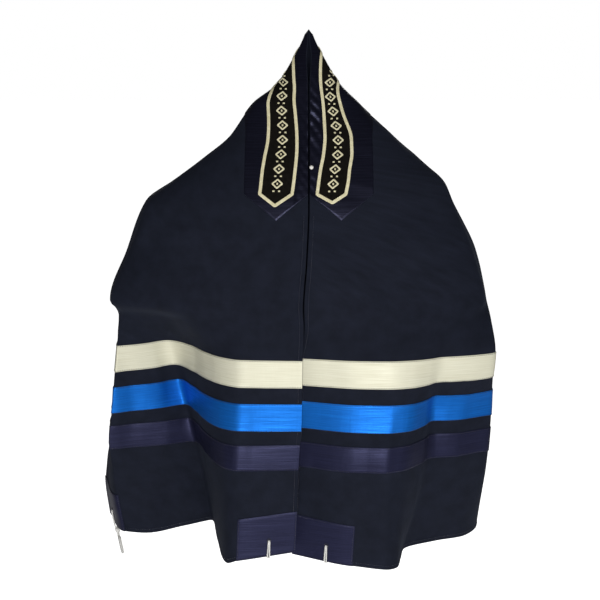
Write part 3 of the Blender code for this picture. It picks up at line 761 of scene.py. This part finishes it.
def lay_cord(sweep, path, radius, phase):
    """A cord of two plies twisted together, along a path in millimetres."""
    _, across, outwards = frames_along(path)
    turn = run_lengths(path) * 2 * math.pi / CORD_TWIST + phase
    angle = np.linspace(0, 2 * math.pi, CORD_CORNERS, endpoint=False)
    plies = np.cos(2 * (angle[None, :] - turn[:, None]))
    reach = radius * (1 - CORD_GROOVE + CORD_GROOVE * plies)
    profile = np.stack([reach * np.cos(angle), reach * np.sin(angle)], axis=2)
    sweep.along(path, across, outwards, profile)


# Materials


class Paint:
    """One material: a Principled shader and short ways to put textures into it."""

    def __init__(self, name, roughness, **sockets):
        self.material = bpy.data.materials.new(name)
        self.material.use_nodes = True
        self.nodes = self.material.node_tree.nodes
        self.links = self.material.node_tree.links
        self.shader = self.nodes["Principled BSDF"]
        self.shader.inputs["Roughness"].default_value = roughness
        for socket, value in sockets.items():
            self.shader.inputs[socket.replace("_", " ")].default_value = value
        self.height = None

    def node(self, kind, inputs=(), **settings):
        node = self.nodes.new(kind)
        for key, value in settings.items():
            setattr(node, key, value)
        for socket, value in dict(inputs).items():
            if isinstance(value, bpy.types.NodeSocket):
                self.links.new(value, node.inputs[socket])
            else:
                node.inputs[socket].default_value = value
        return node

    def place(self, scale, turn=0.0):
        """Weave coordinates in metres, scaled along the weft and the warp."""
        weave = self.node("ShaderNodeUVMap", uv_map="Weave")
        mapping = self.node("ShaderNodeMapping", {
            "Vector": weave.outputs[0], "Scale": (*scale, 1.0), "Rotation": (0, 0, turn)})
        return mapping.outputs[0]

    def noise(self, scale, detail=3.0, roughness=0.5):
        noise = self.node("ShaderNodeTexNoise", {
            "Vector": self.place(scale), "Scale": 1.0, "Detail": detail, "Roughness": roughness})
        return noise.outputs[0]

    def bands(self, period, turn=0.0, distortion=0.0):
        """Parallel ridges with a period in metres."""
        waves_per_unit = math.pi / 10
        wave = self.node("ShaderNodeTexWave", {
            "Vector": self.place((1.0, 1.0), turn), "Scale": waves_per_unit / period,
            "Distortion": distortion, "Detail": 1.0})
        return wave.outputs["Fac"]

    def colour(self, value, stops):
        """The base colour, by (position, colour) stops along a value from 0 to 1."""
        ramp = self.node("ShaderNodeValToRGB", {"Fac": value})
        elements = ramp.color_ramp.elements
        for place, (position, colour) in enumerate(stops):
            element = elements[place] if place < 2 else elements.new(position)
            element.position = position
            element.color = (*colour, 1.0)
        self.links.new(ramp.outputs[0], self.shader.inputs["Base Color"])

    def vary(self, socket, value, low, high):
        """A socket from low to high, over the usual spread of a noise."""
        spread = self.node("ShaderNodeMapRange", {
            "Value": value, "From Min": 0.3, "From Max": 0.7, "To Min": low, "To Max": high})
        self.links.new(spread.outputs[0], self.shader.inputs[socket])

    def raise_by(self, value, distance, strength):
        """Adds a bump, distance in metres."""
        inputs = {"Height": value, "Distance": distance, "Strength": strength}
        if self.height is not None:
            inputs["Normal"] = self.height
        self.height = self.node("ShaderNodeBump", inputs).outputs[0]
        self.links.new(self.height, self.shader.inputs["Normal"])


def wool_finish():
    paint = Paint("Wool twill", 0.85, Specular_IOR_Level=0.12, Sheen_Weight=0.05,
                  Sheen_Roughness=0.5, Sheen_Tint=(0.30, 0.36, 0.55, 1.0))
    mottle = paint.noise((34.0, 34.0), detail=5.0, roughness=0.6)
    paint.colour(mottle, [(0.3, (0.0062, 0.0080, 0.0150)), (0.7, (0.0100, 0.0125, 0.0235))])
    paint.raise_by(mottle, distance=0.0012, strength=0.25)
    twill = paint.bands(period=0.0011, turn=1.05, distortion=0.3)
    paint.raise_by(twill, distance=0.00018, strength=0.6)
    return paint.material


def silk_finish(name, dark, middle, light, roughness, gloss):
    """Slubbed silk: streaks run along the weft, and gloss is the share that shines in colour."""
    paint = Paint(name, roughness, Specular_IOR_Level=0.2, Metallic=gloss, Anisotropic=0.3)
    streaks = paint.noise((13.0, 620.0), detail=4.0, roughness=0.62)
    paint.colour(streaks, [(0.28, dark), (0.5, middle), (0.72, light)])
    paint.vary("Roughness", streaks, low=roughness + 0.08, high=roughness - 0.07)
    slubs = paint.noise((5.0, 150.0), detail=2.0)
    paint.raise_by(slubs, distance=0.0009, strength=0.35)
    paint.raise_by(streaks, distance=0.0004, strength=0.35)
    puckers = paint.noise((70.0, 9.0), detail=2.0)
    paint.raise_by(puckers, distance=0.0022, strength=0.22)
    return paint.material


def thread_finish(name, dark, light, roughness, period, sheen=0.2, specular=0.3):
    """Thread or ribbon with fine cross ribs."""
    paint = Paint(name, roughness, Specular_IOR_Level=specular, Sheen_Weight=sheen,
                  Sheen_Roughness=0.4)
    paint.colour(paint.noise((160.0, 160.0), detail=3.0), [(0.3, dark), (0.7, light)])
    paint.raise_by(paint.bands(period), distance=0.00025, strength=0.6)
    return paint.material


def make_finishes():
    return {
        "wool": wool_finish(),
        "cream_silk": silk_finish(
            "Cream silk", (0.62, 0.60, 0.455), (0.69, 0.675, 0.535), (0.75, 0.74, 0.61),
            roughness=0.50, gloss=0.10),
        "blue_silk": silk_finish(
            "Blue silk", (0.003, 0.090, 0.38), (0.004, 0.125, 0.50), (0.007, 0.165, 0.62),
            roughness=0.50, gloss=0.62),
        "navy_satin": silk_finish(
            "Navy satin", (0.0115, 0.0125, 0.034), (0.0155, 0.0168, 0.046), (0.022, 0.024, 0.063),
            roughness=0.46, gloss=0.55),
        "band_satin": silk_finish(
            "Band satin", (0.0075, 0.0080, 0.0170), (0.0125, 0.0132, 0.0270),
            (0.0220, 0.0235, 0.0450), roughness=0.36, gloss=0.7),
        "field": thread_finish(
            "Black field", (0.0052, 0.0044, 0.0036), (0.0085, 0.0072, 0.0060),
            roughness=0.9, period=0.0009, sheen=0.0, specular=0.06),
        "cream_ribbon": thread_finish(
            "Cream ribbon", (0.66, 0.60, 0.37), (0.80, 0.745, 0.51), roughness=0.5, period=0.0008),
        "cream_thread": thread_finish(
            "Cream thread", (0.68, 0.62, 0.38), (0.84, 0.79, 0.56), roughness=0.45, period=0.0009),
        "navy_thread": thread_finish(
            "Navy thread", (0.009, 0.010, 0.026), (0.020, 0.021, 0.048),
            roughness=0.5, period=0.0007),
        "white_cord": thread_finish(
            "White wool cord", (0.66, 0.66, 0.64), (0.84, 0.83, 0.80),
            roughness=0.8, period=0.0006, sheen=0.3),
        "white_bead": thread_finish(
            "White bead", (0.76, 0.74, 0.70), (0.86, 0.84, 0.80),
            roughness=0.28, period=0.004, sheen=0.0),
    }


# Pieces


def add_wool(shawl, finishes):
    wool = add_skin("wool_shell", shawl, shawl.triangles, 0.0, -CLOTH_WALL, finishes["wool"],
                    shawl.swell)
    return settle(wool, "wool", "shawl_cloth")


def add_stripes(shawl, finishes):
    slots = {"cream": "cream_silk", "blue": "blue_silk", "navy": "navy_satin"}
    stripes = []
    for colour, slot in slots.items():
        first, last = shawl.stripe_rows(colour)
        for side in SIDES:
            grid = shawl.front[side][shawl.ring_rows - 1 + first: shawl.ring_rows + last]
            skin = add_skin(f"silk_{colour}_{side}", shawl, grid_triangles(grid), SEAM_GAP,
                            STRIPE_THICKNESS, finishes[slot],
                            shawl.swell + puckers_beside(shawl, grid))
            stripes.append(settle(skin, slot, f"stripe_{colour}_{side}"))
    return stripes


def puckers_beside(shawl, grid):
    """Small puckers along the sewn edges of a stripe, fading towards its middle."""
    edge_share, height = 0.22, 0.20
    rise = np.zeros(shawl.count)
    rows = np.linspace(0, 1, len(grid))[:, None]
    near_edge = np.exp(-((np.minimum(rows, 1 - rows) / edge_share) ** 2))
    u = shawl.flat[grid, 0]
    rise[grid] = near_edge * (height * np.sin(u / 3.9 + 1.3 * np.sin(u / 29)) * np.sin(u / 17 + 1))
    return rise


def add_patches(shawl, finishes):
    rows = slice(-len(PATCH_LIFTS), None)
    wide = LINE_COLUMNS[1] * FINE
    left, right = shawl.front["left"], shawl.front["right"]
    places = {
        "inner_left": left[rows, : wide + 1],
        "outer_left": left[rows, -wide - 1:],
        "inner_right": right[rows, -wide - 1:],
        "outer_right": right[rows, : wide - FINE + 1],
    }
    patches = []
    for place, grid in places.items():
        skin = add_skin(f"satin_patch_{place}", shawl, grid_triangles(grid), SEAM_GAP,
                        PATCH_THICKNESS, finishes["navy_satin"], shawl.swell)
        patches.append(settle(skin, "navy_satin", f"corner_patch_{place}"))
    return patches, places


def stitch_beside(sweep, shawl, ids, next_ids, inset, lift):
    """Short stitches in a row, beside one grid line towards the next."""
    step = np.linalg.norm(shawl.points[next_ids] - shawl.points[ids], axis=1, keepdims=True)
    share = np.minimum(inset / np.maximum(step, 1e-6), 1.0)
    normals = shawl.normals[ids]
    points = shawl.points[ids] * (1 - share) + shawl.points[next_ids] * share
    points = points + normals * shawl.swell[ids][:, None]
    run = run_lengths(points)
    section = oval(STITCH_WIDTH, STITCH_THICKNESS, corners=6)
    sink = np.array((-STITCH_SINK, 0.0, -STITCH_SINK))[:, None]
    for start in np.arange(STITCH_GAP, run[-1] - STITCH_LENGTH, STITCH_LENGTH + STITCH_GAP):
        at = start + np.array((0.0, 0.5, 1.0)) * STITCH_LENGTH
        centres = np.stack([np.interp(at, run, points[:, axis]) for axis in range(3)], axis=1)
        up = np.stack([np.interp(at, run, normals[:, axis]) for axis in range(3)], axis=1)
        up /= np.linalg.norm(up, axis=1, keepdims=True)
        tangent = centres[-1] - centres[0]
        across = np.cross(tangent / np.linalg.norm(tangent), up)
        sweep.along(centres + up * (lift + sink), across, up, section)


def add_stitching(shawl, patch_grids, finishes):
    sweep = Sweep()
    for side in SIDES:
        panel = shawl.front[side][shawl.ring_rows - 1:]
        for colour in STRIPES:
            first, last = shawl.stripe_rows(colour)
            for row, inner in ((first, first + 1), (last, last - 1)):
                stitch_beside(sweep, shawl, panel[row], panel[inner], STRIPE_STITCH_INSET,
                              SEAM_GAP + STRIPE_THICKNESS)
    for grid in patch_grids.values():
        for edges in (grid, grid[::-1], grid.T, grid.T[::-1]):
            stitch_beside(sweep, shawl, edges[0], edges[1], PATCH_STITCH_INSET,
                          SEAM_GAP + PATCH_THICKNESS)
    obj = sweep.build("edge_stitching", finishes["navy_thread"])
    return settle(obj, "navy_satin")


def add_hem_stitching(shawl, finishes):
    """The stitches that hold the narrow hem, all round the cloth's edge."""
    sweep = Sweep()

    def along_hem(ids, inner_ids):
        stitch_beside(sweep, shawl, ids, inner_ids, HEM_WIDTH, 0.0)

    for side, grid in shawl.front.items():
        from_edge = grid if side == "left" else grid[:, ::-1]
        below_band = shawl.points[from_edge[:, 0], 2] < HEM_STITCHES_TOP
        along_hem(from_edge[below_band, 0], from_edge[below_band, 1])
        along_hem(grid[-1], grid[-3])
        open_side = shawl.points[from_edge[:, -1], 2] < SLIT
        along_hem(from_edge[open_side, -1], from_edge[open_side, -2])
    along_hem(shawl.skirt[-1], shawl.skirt[-3])
    obj = sweep.build("hem_stitching", finishes["navy_thread"])
    return settle(obj, "wool")


def straight_line(shawl, side, crown, depth):
    """How far from the front edge a straight line on the flat band lies, at a depth.

    The line passes behind the peak at the depth named crown.
    """
    angle = math.asin(min(1.0, crown / depth))
    spread = SPREAD_BELOW + SPREAD_AT_CROWN * math.sin(angle)
    return angle / (math.pi / 2) * shawl.half_length(side, -depth) * spread


def ribbon_line(shawl, side, line_name, depth):
    """How far from the front edge one of the ribbon's long lines lies, at a depth."""
    pulls = [getattr(row, f"{side}_{line_name}") for row in PULLS]
    pull = smooth_at([row.depth for row in PULLS], pulls, depth)[0]
    line = straight_line(shawl, side, RIBBON_CROWNS[line_name], depth) * pull
    return min(line, shawl.half_length(side, -depth))


def band_reach(shawl, side, depth):
    """The band's width: all round the peak at first, then narrowing to its own width."""
    line = straight_line(shawl, side, BAND_CROWN, depth)
    share = min(1.0, max(0.0, (depth - BAND_CROWN) / BAND_EASE))
    return line + (BAND_WIDTH - line) * smooth_step(share)


def pucker_on_band(shawl, side, t, depth):
    """Slanting tucks in the satin between the ribbon and the front edge."""
    if depth <= TUCKS_START:
        return 0.0
    from_ribbon = ribbon_line(shawl, side, "inner", depth) - RIBBON_WIDTH / 2 - t
    edge_fade = 6
    near_edge = min(1.0, max(0.0, from_ribbon / edge_fade))
    fade = min(1.0, (depth - TUCKS_START) / TUCKS_FADE)
    lean = TUCK_LEANS[side]
    tuck = math.sin(depth / 3.3 + lean * t + 1.2 * math.sin(depth / 19))
    finer = math.sin(depth / 2.1 - 0.5 * lean * t + 2.0 * math.sin(depth / 37))
    uneven = 0.6 + 0.4 * math.sin(depth / 27 + TUCK_SHIFTS[side])
    height = uneven * (TUCK_HEIGHT * tuck + FINE_TUCK_HEIGHT * finer) + TUCK_LIFT
    return near_edge * fade * height


def grid_on_cloth(shawl, side, rows, lift, rise=None):
    """Points of a piece laid on the cloth, from rows of (t, height) places."""
    grid, flat = [], []
    for row in rows:
        for t, height in row:
            point, normal = shawl.at(side, t, height)
            extra = rise(shawl, side, t, -height) if rise else 0.0
            grid.append(point + normal * (lift + extra))
            flat.append((t if side == "left" else -t, -height))
    return np.array(grid), np.array(flat)


def lay_on_both(shawl, name, finish, lift, rows_on, apex=None, rise=None):
    """One mesh laid on both halves of the cloth by rows of places, and joined at an apex."""
    points, faces, flat = [], [], []
    if apex:
        points.append(np.array([apex]))
        flat.append(np.zeros((1, 2)))
    count = len(points)
    for side in SIDES:
        rows = rows_on(side)
        grid, places = grid_on_cloth(shawl, side, rows, lift, rise)
        ids = count + np.arange(len(grid)).reshape(len(rows), -1)
        ids = ids if side == "left" else ids[:, ::-1]
        count += len(grid)
        points.append(grid)
        flat.append(places)
        faces.append(grid_triangles(ids))
        if apex:
            faces.append(cap_triangles(0, ids[0]))
    return new_mesh(name, np.concatenate(points), np.concatenate(faces), finish,
                    np.concatenate(flat))


def add_band_base(shawl, finishes):
    columns = np.linspace(0, 1, BAND_COLUMNS)

    def rows_on(side):
        rows = [[(c * band_reach(shawl, side, -z), z) for c in columns] for z in BAND_HEIGHTS]
        for share in TIP_SHARES:
            drop = (1 - abs(2 * columns - 1)) * (BAND_TIP - BAND_END) * share
            rows.append([(c * BAND_WIDTH, BAND_END + d) for c, d in zip(columns, drop)])
        return rows

    apex = (0.0, 0.0, PEAK_HEIGHT + SEAM_GAP)
    base = lay_on_both(shawl, "satin_band", finishes["band_satin"], SEAM_GAP, rows_on, apex,
                       pucker_on_band)
    weld_distance = 0.05 * MM
    mesh = bmesh.new()
    mesh.from_mesh(base.data)
    bmesh.ops.remove_doubles(mesh, verts=mesh.verts, dist=weld_distance)
    mesh.to_mesh(base.data)
    mesh.free()
    add_wall(base, BAND_THICKNESS)
    return settle(base, "navy_satin", "atarah_base")


def ribbon_places(shawl, side, line_name):
    """Places along one long line of the ribbon, from the middle of the back to the band's end."""
    crown = RIBBON_CROWNS[line_name]
    shares = np.linspace(0, 1, CROWN_BEND_STEPS)
    depths = [crown * CROWN_BEND_END ** (share * share) for share in shares]
    depths += list(np.arange(depths[-1] + PLACE_STEP, RIBBON_END, PLACE_STEP)) + [RIBBON_END]
    return [(side, ribbon_line(shawl, side, line_name, depth), -depth) for depth in depths]


def ribbon_loop(shawl):
    outer, inner = (
        {side: ribbon_places(shawl, side, line_name) for side in SIDES}
        for line_name in ("outer", "inner")
    )
    return (
        outer["left"][::-1] + outer["right"][1:] + [("right", *RIBBON_TIPS["right"])]
        + inner["right"][::-1] + inner["left"][1:] + [("left", *RIBBON_TIPS["left"])]
    )


def line_of(shawl, places, step, closed=False):
    """Evenly spaced points and normals of the cloth through some places on it."""
    found = [shawl.at(*place) for place in places]
    if closed:
        found.append(found[0])
    line = resampled(np.array([np.concatenate(pair) for pair in found]), step)
    points, normals = line[:, :3], line[:, 3:]
    if closed:
        points, normals = points[:-1], normals[:-1]
    return points, normals / np.linalg.norm(normals, axis=1, keepdims=True)


def lay_line(sweep, points, normals, lift, section, closed=False):
    """Lays a flat strip along a line on the cloth."""
    if closed:
        tangents = np.roll(points, -1, axis=0) - np.roll(points, 1, axis=0)
    else:
        tangents = np.gradient(points, axis=0)
    tangents /= np.linalg.norm(tangents, axis=1, keepdims=True)
    across = np.cross(tangents, normals)
    across /= np.linalg.norm(across, axis=1, keepdims=True)
    sweep.along(points + normals * lift, across, normals, section, closed)


def add_ribbon(shawl, finishes):
    sweep = Sweep()
    points, normals = line_of(shawl, ribbon_loop(shawl), RIBBON_STEP, closed=True)
    lift = SEAM_GAP + BAND_THICKNESS + FIELD_THICKNESS + SEAM_GAP
    section = oval(RIBBON_WIDTH, RIBBON_THICKNESS, corners=16, squareness=0.55)
    lay_line(sweep, points, normals, lift, section, closed=True)
    ribbon = sweep.build("cream_ribbon", finishes["cream_ribbon"])
    return settle(ribbon, "cream_ribbon", "atarah_border")


def add_field(shawl, finishes):
    """The black ground inside the ribbon."""
    columns = np.linspace(0, 1, FIELD_COLUMNS)

    def rows_on(side):
        rows = []
        for depth in FIELD_DEPTHS:
            near, far = (ribbon_line(shawl, side, line, depth) for line in RIBBON_CROWNS)
            rows.append([(near + (far - near) * c, -depth) for c in columns])
        ends = [t for t, _ in rows[-1]]
        tip_t, tip_z = RIBBON_TIPS[side]
        for share in TIP_SHARES:
            row = []
            for t in ends:
                side_of_tip = (ends[0] if t < tip_t else ends[-1]) - tip_t
                drop = (tip_z + RIBBON_END) * (1 - abs((t - tip_t) / side_of_tip))
                row.append((t, -RIBBON_END + drop * share))
            rows.append(row)
        return rows

    lift = SEAM_GAP + BAND_THICKNESS + SMALL_GAP
    field = lay_on_both(shawl, "band_field", finishes["field"], lift, rows_on)
    add_wall(field, FIELD_THICKNESS)
    return settle(field, "navy_satin")


def add_stitched_repeat(shawl, finishes):
    """Lozenges, with a bar inside and dashes between, along the middle of the field."""
    sweep = Sweep()
    lift = SEAM_GAP + BAND_THICKNESS + FIELD_THICKNESS
    thread = oval(THREAD_WIDTH, THREAD_THICKNESS, corners=8)
    depths = np.arange(REPEAT_TOP, RIBBON_END + 2, 2.0)
    for side in SIDES:
        middles = np.array([
            sum(ribbon_line(shawl, side, line, depth) for line in RIBBON_CROWNS) / 2
            for depth in depths
        ])
        spine = np.array([shawl.at(side, t, -depth)[0] for t, depth in zip(middles, depths)])
        run = run_lengths(spine)

        def draw(corners, closed=False):
            places = []
            for along, aside in corners:
                depth = np.interp(along, run, depths)
                places.append((side, np.interp(depth, depths, middles) + aside, -depth))
            points, normals = line_of(shawl, places, 1.0, closed)
            lay_line(sweep, points, normals, lift, thread, closed)

        for start in np.arange(run[-1] % REPEAT_LENGTH, run[-1] - 1, REPEAT_LENGTH):
            middle, dash = start + LOZENGE_MIDDLE, start + DASHES_PLACE
            draw([(middle - LOZENGE_HALF_LENGTH, 0), (middle, LOZENGE_HALF_WIDTH),
                  (middle + LOZENGE_HALF_LENGTH, 0), (middle, -LOZENGE_HALF_WIDTH)], closed=True)
            draw([(middle - BAR_HALF_LENGTH, 0), (middle + BAR_HALF_LENGTH, 0)])
            near, far = DASH_REACH
            draw([(dash, -far), (dash, -near)])
            draw([(dash, near), (dash, far)])
    repeat = sweep.build("stitched_repeat", finishes["cream_thread"])
    return settle(repeat, "cream_ribbon")


def add_bead(shawl, finishes):
    point, normal = shawl.at("right", BEAD_DISTANCE, BEAD_HEIGHT)
    lift = SEAM_GAP + BAND_THICKNESS + BEAD_DIAMETER / 2
    sweep = Sweep()
    sweep.ball(point + normal * lift, BEAD_DIAMETER / 2, normal, rings=16, sides=24)
    bead = sweep.build("neck_bead_round", finishes["white_bead"])
    return settle(bead, "white_bead", "neck_bead")


def corner_frame(shawl, grid, column, aside):
    """At the hem below an eyelet: the hem point, and the ways along, inwards and up."""
    hem = shawl.points[grid[-1, column]]
    row_above = (len(PATCH_LIFTS) - 1) * EYELET_HEIGHT / PATCH_HEIGHT
    whole, share = int(row_above), row_above % 1
    eyelet = (
        shawl.points[grid[-1 - whole, column]] * (1 - share)
        + shawl.points[grid[-2 - whole, column]] * share
    )
    up = (eyelet - hem) / np.linalg.norm(eyelet - hem)
    inwards = -shawl.normals[grid[-1, column]]
    inwards = inwards - up * inwards.dot(up)
    inwards /= np.linalg.norm(inwards)
    ways = np.stack([np.cross(inwards, up), inwards, up])
    return hem + ways[0] * aside, ways, eyelet + ways[0] * aside


def hank_path(x, y, z, way, fold_x):
    """A strand's path: out from the knot for the hank's drop, then back beside itself."""
    radius = fold_x - x
    far = z + way * HANK_DROP
    turn = np.linspace(0, math.pi, 9)
    most_sway = 0.5
    sway = most_sway * math.sin(3.1 * x + 1.7 * y)
    path = [(x, y, z), (x + sway, y, z + way * HANK_DROP / 2), (x, y, far)]
    path += [(fold_x - radius * math.cos(a), y, far + way * radius * math.sin(a)) for a in turn]
    back_x = fold_x + radius
    return path + [(back_x - sway, y, z + way * HANK_TAIL), (back_x, y, z + way * HANK_TAIL_END)]


def add_tassel(corner, place, hangs, finishes):
    """A corner's cords: a loop from the eyelet over the hem, a wound knot and a folded hank.

    The paths are in (along the hem, inwards, up) from the hem below the eyelet.
    """
    hem, ways = corner
    front = -(2 * SEAM_GAP + PATCH_THICKNESS + CORD_RADIUS + LOOP_CLEARANCE)
    behind = CLOTH_WALL + SEAM_GAP + CORD_RADIUS + LINING_CLEARANCE
    half_width, half_depth = STRAND_PITCH * STRANDS_ACROSS / 2, STRAND_PITCH * STRANDS_DEEP / 2
    knot_y = HANGING_KNOT_Y if hangs else CLOTH_WALL + SEAM_GAP + half_depth + KNOT_CLEARANCE
    way = -1.0 if hangs else 1.0
    knot_z = way * KNOT_FROM_HEM
    fold_x = STRAND_PITCH * (STRANDS_ACROSS + 1) / 2
    sweep = Sweep()

    def cord(path, phase, step=CORD_STEP, radius=CORD_RADIUS):
        lay_cord(sweep, hem + rounded(path, step) @ ways, radius, phase)

    for column in range(STRANDS_ACROSS):
        for row in range(STRANDS_DEEP):
            x = (column - (STRANDS_ACROSS - 1) / 2) * STRAND_PITCH
            y = knot_y + (row - (STRANDS_DEEP - 1) / 2) * STRAND_PITCH
            cord(hank_path(x, y, knot_z + way * KNOT_DEPTH / 2 - way, way, fold_x), x + 2 * y)
    points_a_turn = 24
    angle = np.linspace(0, 2 * math.pi * KNOT_TURNS, points_a_turn * KNOT_TURNS)
    winding = np.stack([
        (half_width + KNOT_PADDING[0]) * np.cos(angle),
        knot_y + (half_depth + KNOT_PADDING[1]) * np.sin(angle),
        knot_z + np.linspace(-KNOT_DEPTH / 2, KNOT_DEPTH / 2, len(angle)),
    ], axis=1)
    cord(winding, 0.0, step=WINDING_STEP)
    for x, splay in ((-STRAND_PITCH / 2, -0.5), (STRAND_PITCH / 2, 0.5)):
        top = [(x + splay, front, 3.0), (x + splay * 0.6, front, 10.0),
               (x, front, EYELET_HEIGHT * 0.7), (x * 0.75, front, EYELET_HEIGHT - 1.5),
               (x * 0.6, front + 1.8, EYELET_HEIGHT)]
        if hangs:
            under = [(x, knot_y, knot_z + 2), (x, front + 0.4, -6.0)]
            cord(under + top, x, radius=LOOP_RADIUS)
            cord([(x, knot_y, knot_z + 2), (x, behind, -6.0), (x, behind, 1.0),
                  (x * 0.5, behind, EYELET_HEIGHT)], x + 1)
        else:
            under = [(x, knot_y, knot_z - 2), (x, knot_y - 0.6, 1.2), (x, knot_y - 1.6, -1.4),
                     (x, 0.6, -2.1), (x + splay * 0.7, front + 0.8, -1.3)]
            cord(under + top, x, radius=LOOP_RADIUS)
    tassel = sweep.build(f"tassel_{place}", finishes["white_cord"])
    return settle(tassel, "white_cord", f"tzitzit_{place}")


def add_tassels(shawl, finishes):
    """The four tassels, and a stitched eyelet round each loop."""
    left, right = shawl.front["left"], shawl.front["right"]
    half_patch = LINE_COLUMNS[1] * FINE // 2
    places = {
        "inner_left": (left, half_patch),
        "outer_left": (left, left.shape[1] - 1 - half_patch),
        "inner_right": (right, right.shape[1] - 1 - half_patch),
        "outer_right": (right, half_patch - FINE),
    }
    angle = np.linspace(0, 2 * math.pi, 49)[:-1]
    ribs, rib_height = 24, 0.18
    section = oval(1.9, 0.8, corners=8) * (1 + rib_height * np.cos(angle * ribs)[:, None, None])
    rings = Sweep()
    tassels = []
    for place, (grid, column) in places.items():
        hem, ways, eyelet = corner_frame(shawl, grid, column, EYELETS_ASIDE[place])
        tassels.append(add_tassel((hem, ways), place, place == HANGING_TASSEL, finishes))
        outwards = -ways[1]
        centre = eyelet + outwards * (SEAM_GAP + PATCH_THICKNESS + SMALL_GAP)
        spokes = np.cos(angle)[:, None] * ways[0] + np.sin(angle)[:, None] * ways[2]
        lay_line(rings, centre + EYELET_RADIUS * spokes, np.tile(outwards, (len(angle), 1)), 0.0,
                 section, closed=True)
    eyelets = rings.build("eyelet_stitching", finishes["navy_thread"])
    return tassels, settle(eyelets, "navy_satin")


# The studio, in metres

CAMERA_PLACE = (-0.015, -2.44, 0.014)
CAMERA_PITCH_DOWN = 11.2
Lamp = namedtuple("Lamp", "name place size watts colour")
LAMPS = (
    Lamp("Key", (0.1, -3.1, -0.4), 1.3, 66, (1.0, 0.99, 0.97)),
    Lamp("Fill", (0.8, -3.0, -0.4), 1.2, 10, (0.95, 0.97, 1.0)),
    Lamp("Back", (0.4, 3.0, 1.0), 1.4, 40, (1.0, 1.0, 1.0)),
)
LIT_PLACE = (0.0, 0.0, -0.45)
WORLD_LIGHT = 0.10
FLOOR_HEIGHT = -1.75
FLOOR_REACH = 30.0
FLOOR_GLOW = 0.12


def add_camera():
    data = bpy.data.cameras.new("Camera")
    data.sensor_width, data.lens = 36, 84
    camera = bpy.data.objects.new("Camera", data)
    camera.location = CAMERA_PLACE
    camera.rotation_euler = (math.radians(90 - CAMERA_PITCH_DOWN), 0, 0)
    bpy.context.scene.collection.objects.link(camera)
    bpy.context.scene.camera = camera


def add_light(lamp):
    data = bpy.data.lights.new(lamp.name, "AREA")
    data.shape = "DISK"
    data.size, data.energy, data.color = lamp.size, lamp.watts, lamp.colour
    light = bpy.data.objects.new(lamp.name, data)
    light.location = lamp.place
    to_target = Vector(LIT_PLACE) - Vector(lamp.place)
    light.rotation_euler = to_target.to_track_quat("-Z", "Y").to_euler()
    bpy.context.scene.collection.objects.link(light)


def dim_for_others(nodes, links, socket, dimmed):
    """Full strength where the camera looks at it, dimmed for the light that it gives."""
    path = nodes.new("ShaderNodeLightPath")
    strength = nodes.new("ShaderNodeMapRange")
    strength.inputs["To Min"].default_value = dimmed
    strength.inputs["To Max"].default_value = 1.0
    links.new(path.outputs["Is Camera Ray"], strength.inputs["Value"])
    links.new(strength.outputs[0], socket)


def add_studio():
    for lamp in LAMPS:
        add_light(lamp)

    world = bpy.data.worlds.new("Pale studio")
    bpy.context.scene.world = world
    world.use_nodes = True
    nodes, links = world.node_tree.nodes, world.node_tree.links
    shade = nodes["Background"]
    shade.inputs["Color"].default_value = (1.0, 1.0, 1.0, 1.0)
    dim_for_others(nodes, links, shade.inputs["Strength"], WORLD_LIGHT)

    mesh = bpy.data.meshes.new("Floor")
    corners = [(x * FLOOR_REACH, y * FLOOR_REACH, FLOOR_HEIGHT)
               for x, y in ((-1, -1), (1, -1), (1, 1), (-1, 1))]
    mesh.from_pydata(corners, [], [(0, 1, 2, 3)])
    floor = bpy.data.objects.new("Floor", mesh)
    bpy.context.scene.collection.objects.link(floor)
    paint = Paint("Pale floor", 0.9)
    paint.shader.inputs["Base Color"].default_value = (0.9, 0.9, 0.9, 1.0)
    paint.shader.inputs["Emission Color"].default_value = (1.0, 1.0, 1.0, 1.0)
    dim_for_others(paint.nodes, paint.links, paint.shader.inputs["Emission Strength"], FLOOR_GLOW)
    mesh.materials.append(paint.material)
    bpy.context.scene.view_settings.view_transform = "Standard"


def main():
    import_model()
    finishes = make_finishes()
    shawl = Shawl()
    wool = add_wool(shawl, finishes)
    sewn_on = add_stripes(shawl, finishes)
    patches, patch_grids = add_patches(shawl, finishes)
    sewn_on += patches
    sewn_on += [
        add_stitching(shawl, patch_grids, finishes),
        add_hem_stitching(shawl, finishes),
        add_band_base(shawl, finishes),
        add_field(shawl, finishes),
        add_ribbon(shawl, finishes),
        add_stitched_repeat(shawl, finishes),
        add_bead(shawl, finishes),
    ]
    tassels, eyelets = add_tassels(shawl, finishes)
    sewn_on += tassels + [eyelets]
    add_camera()
    add_studio()


main()
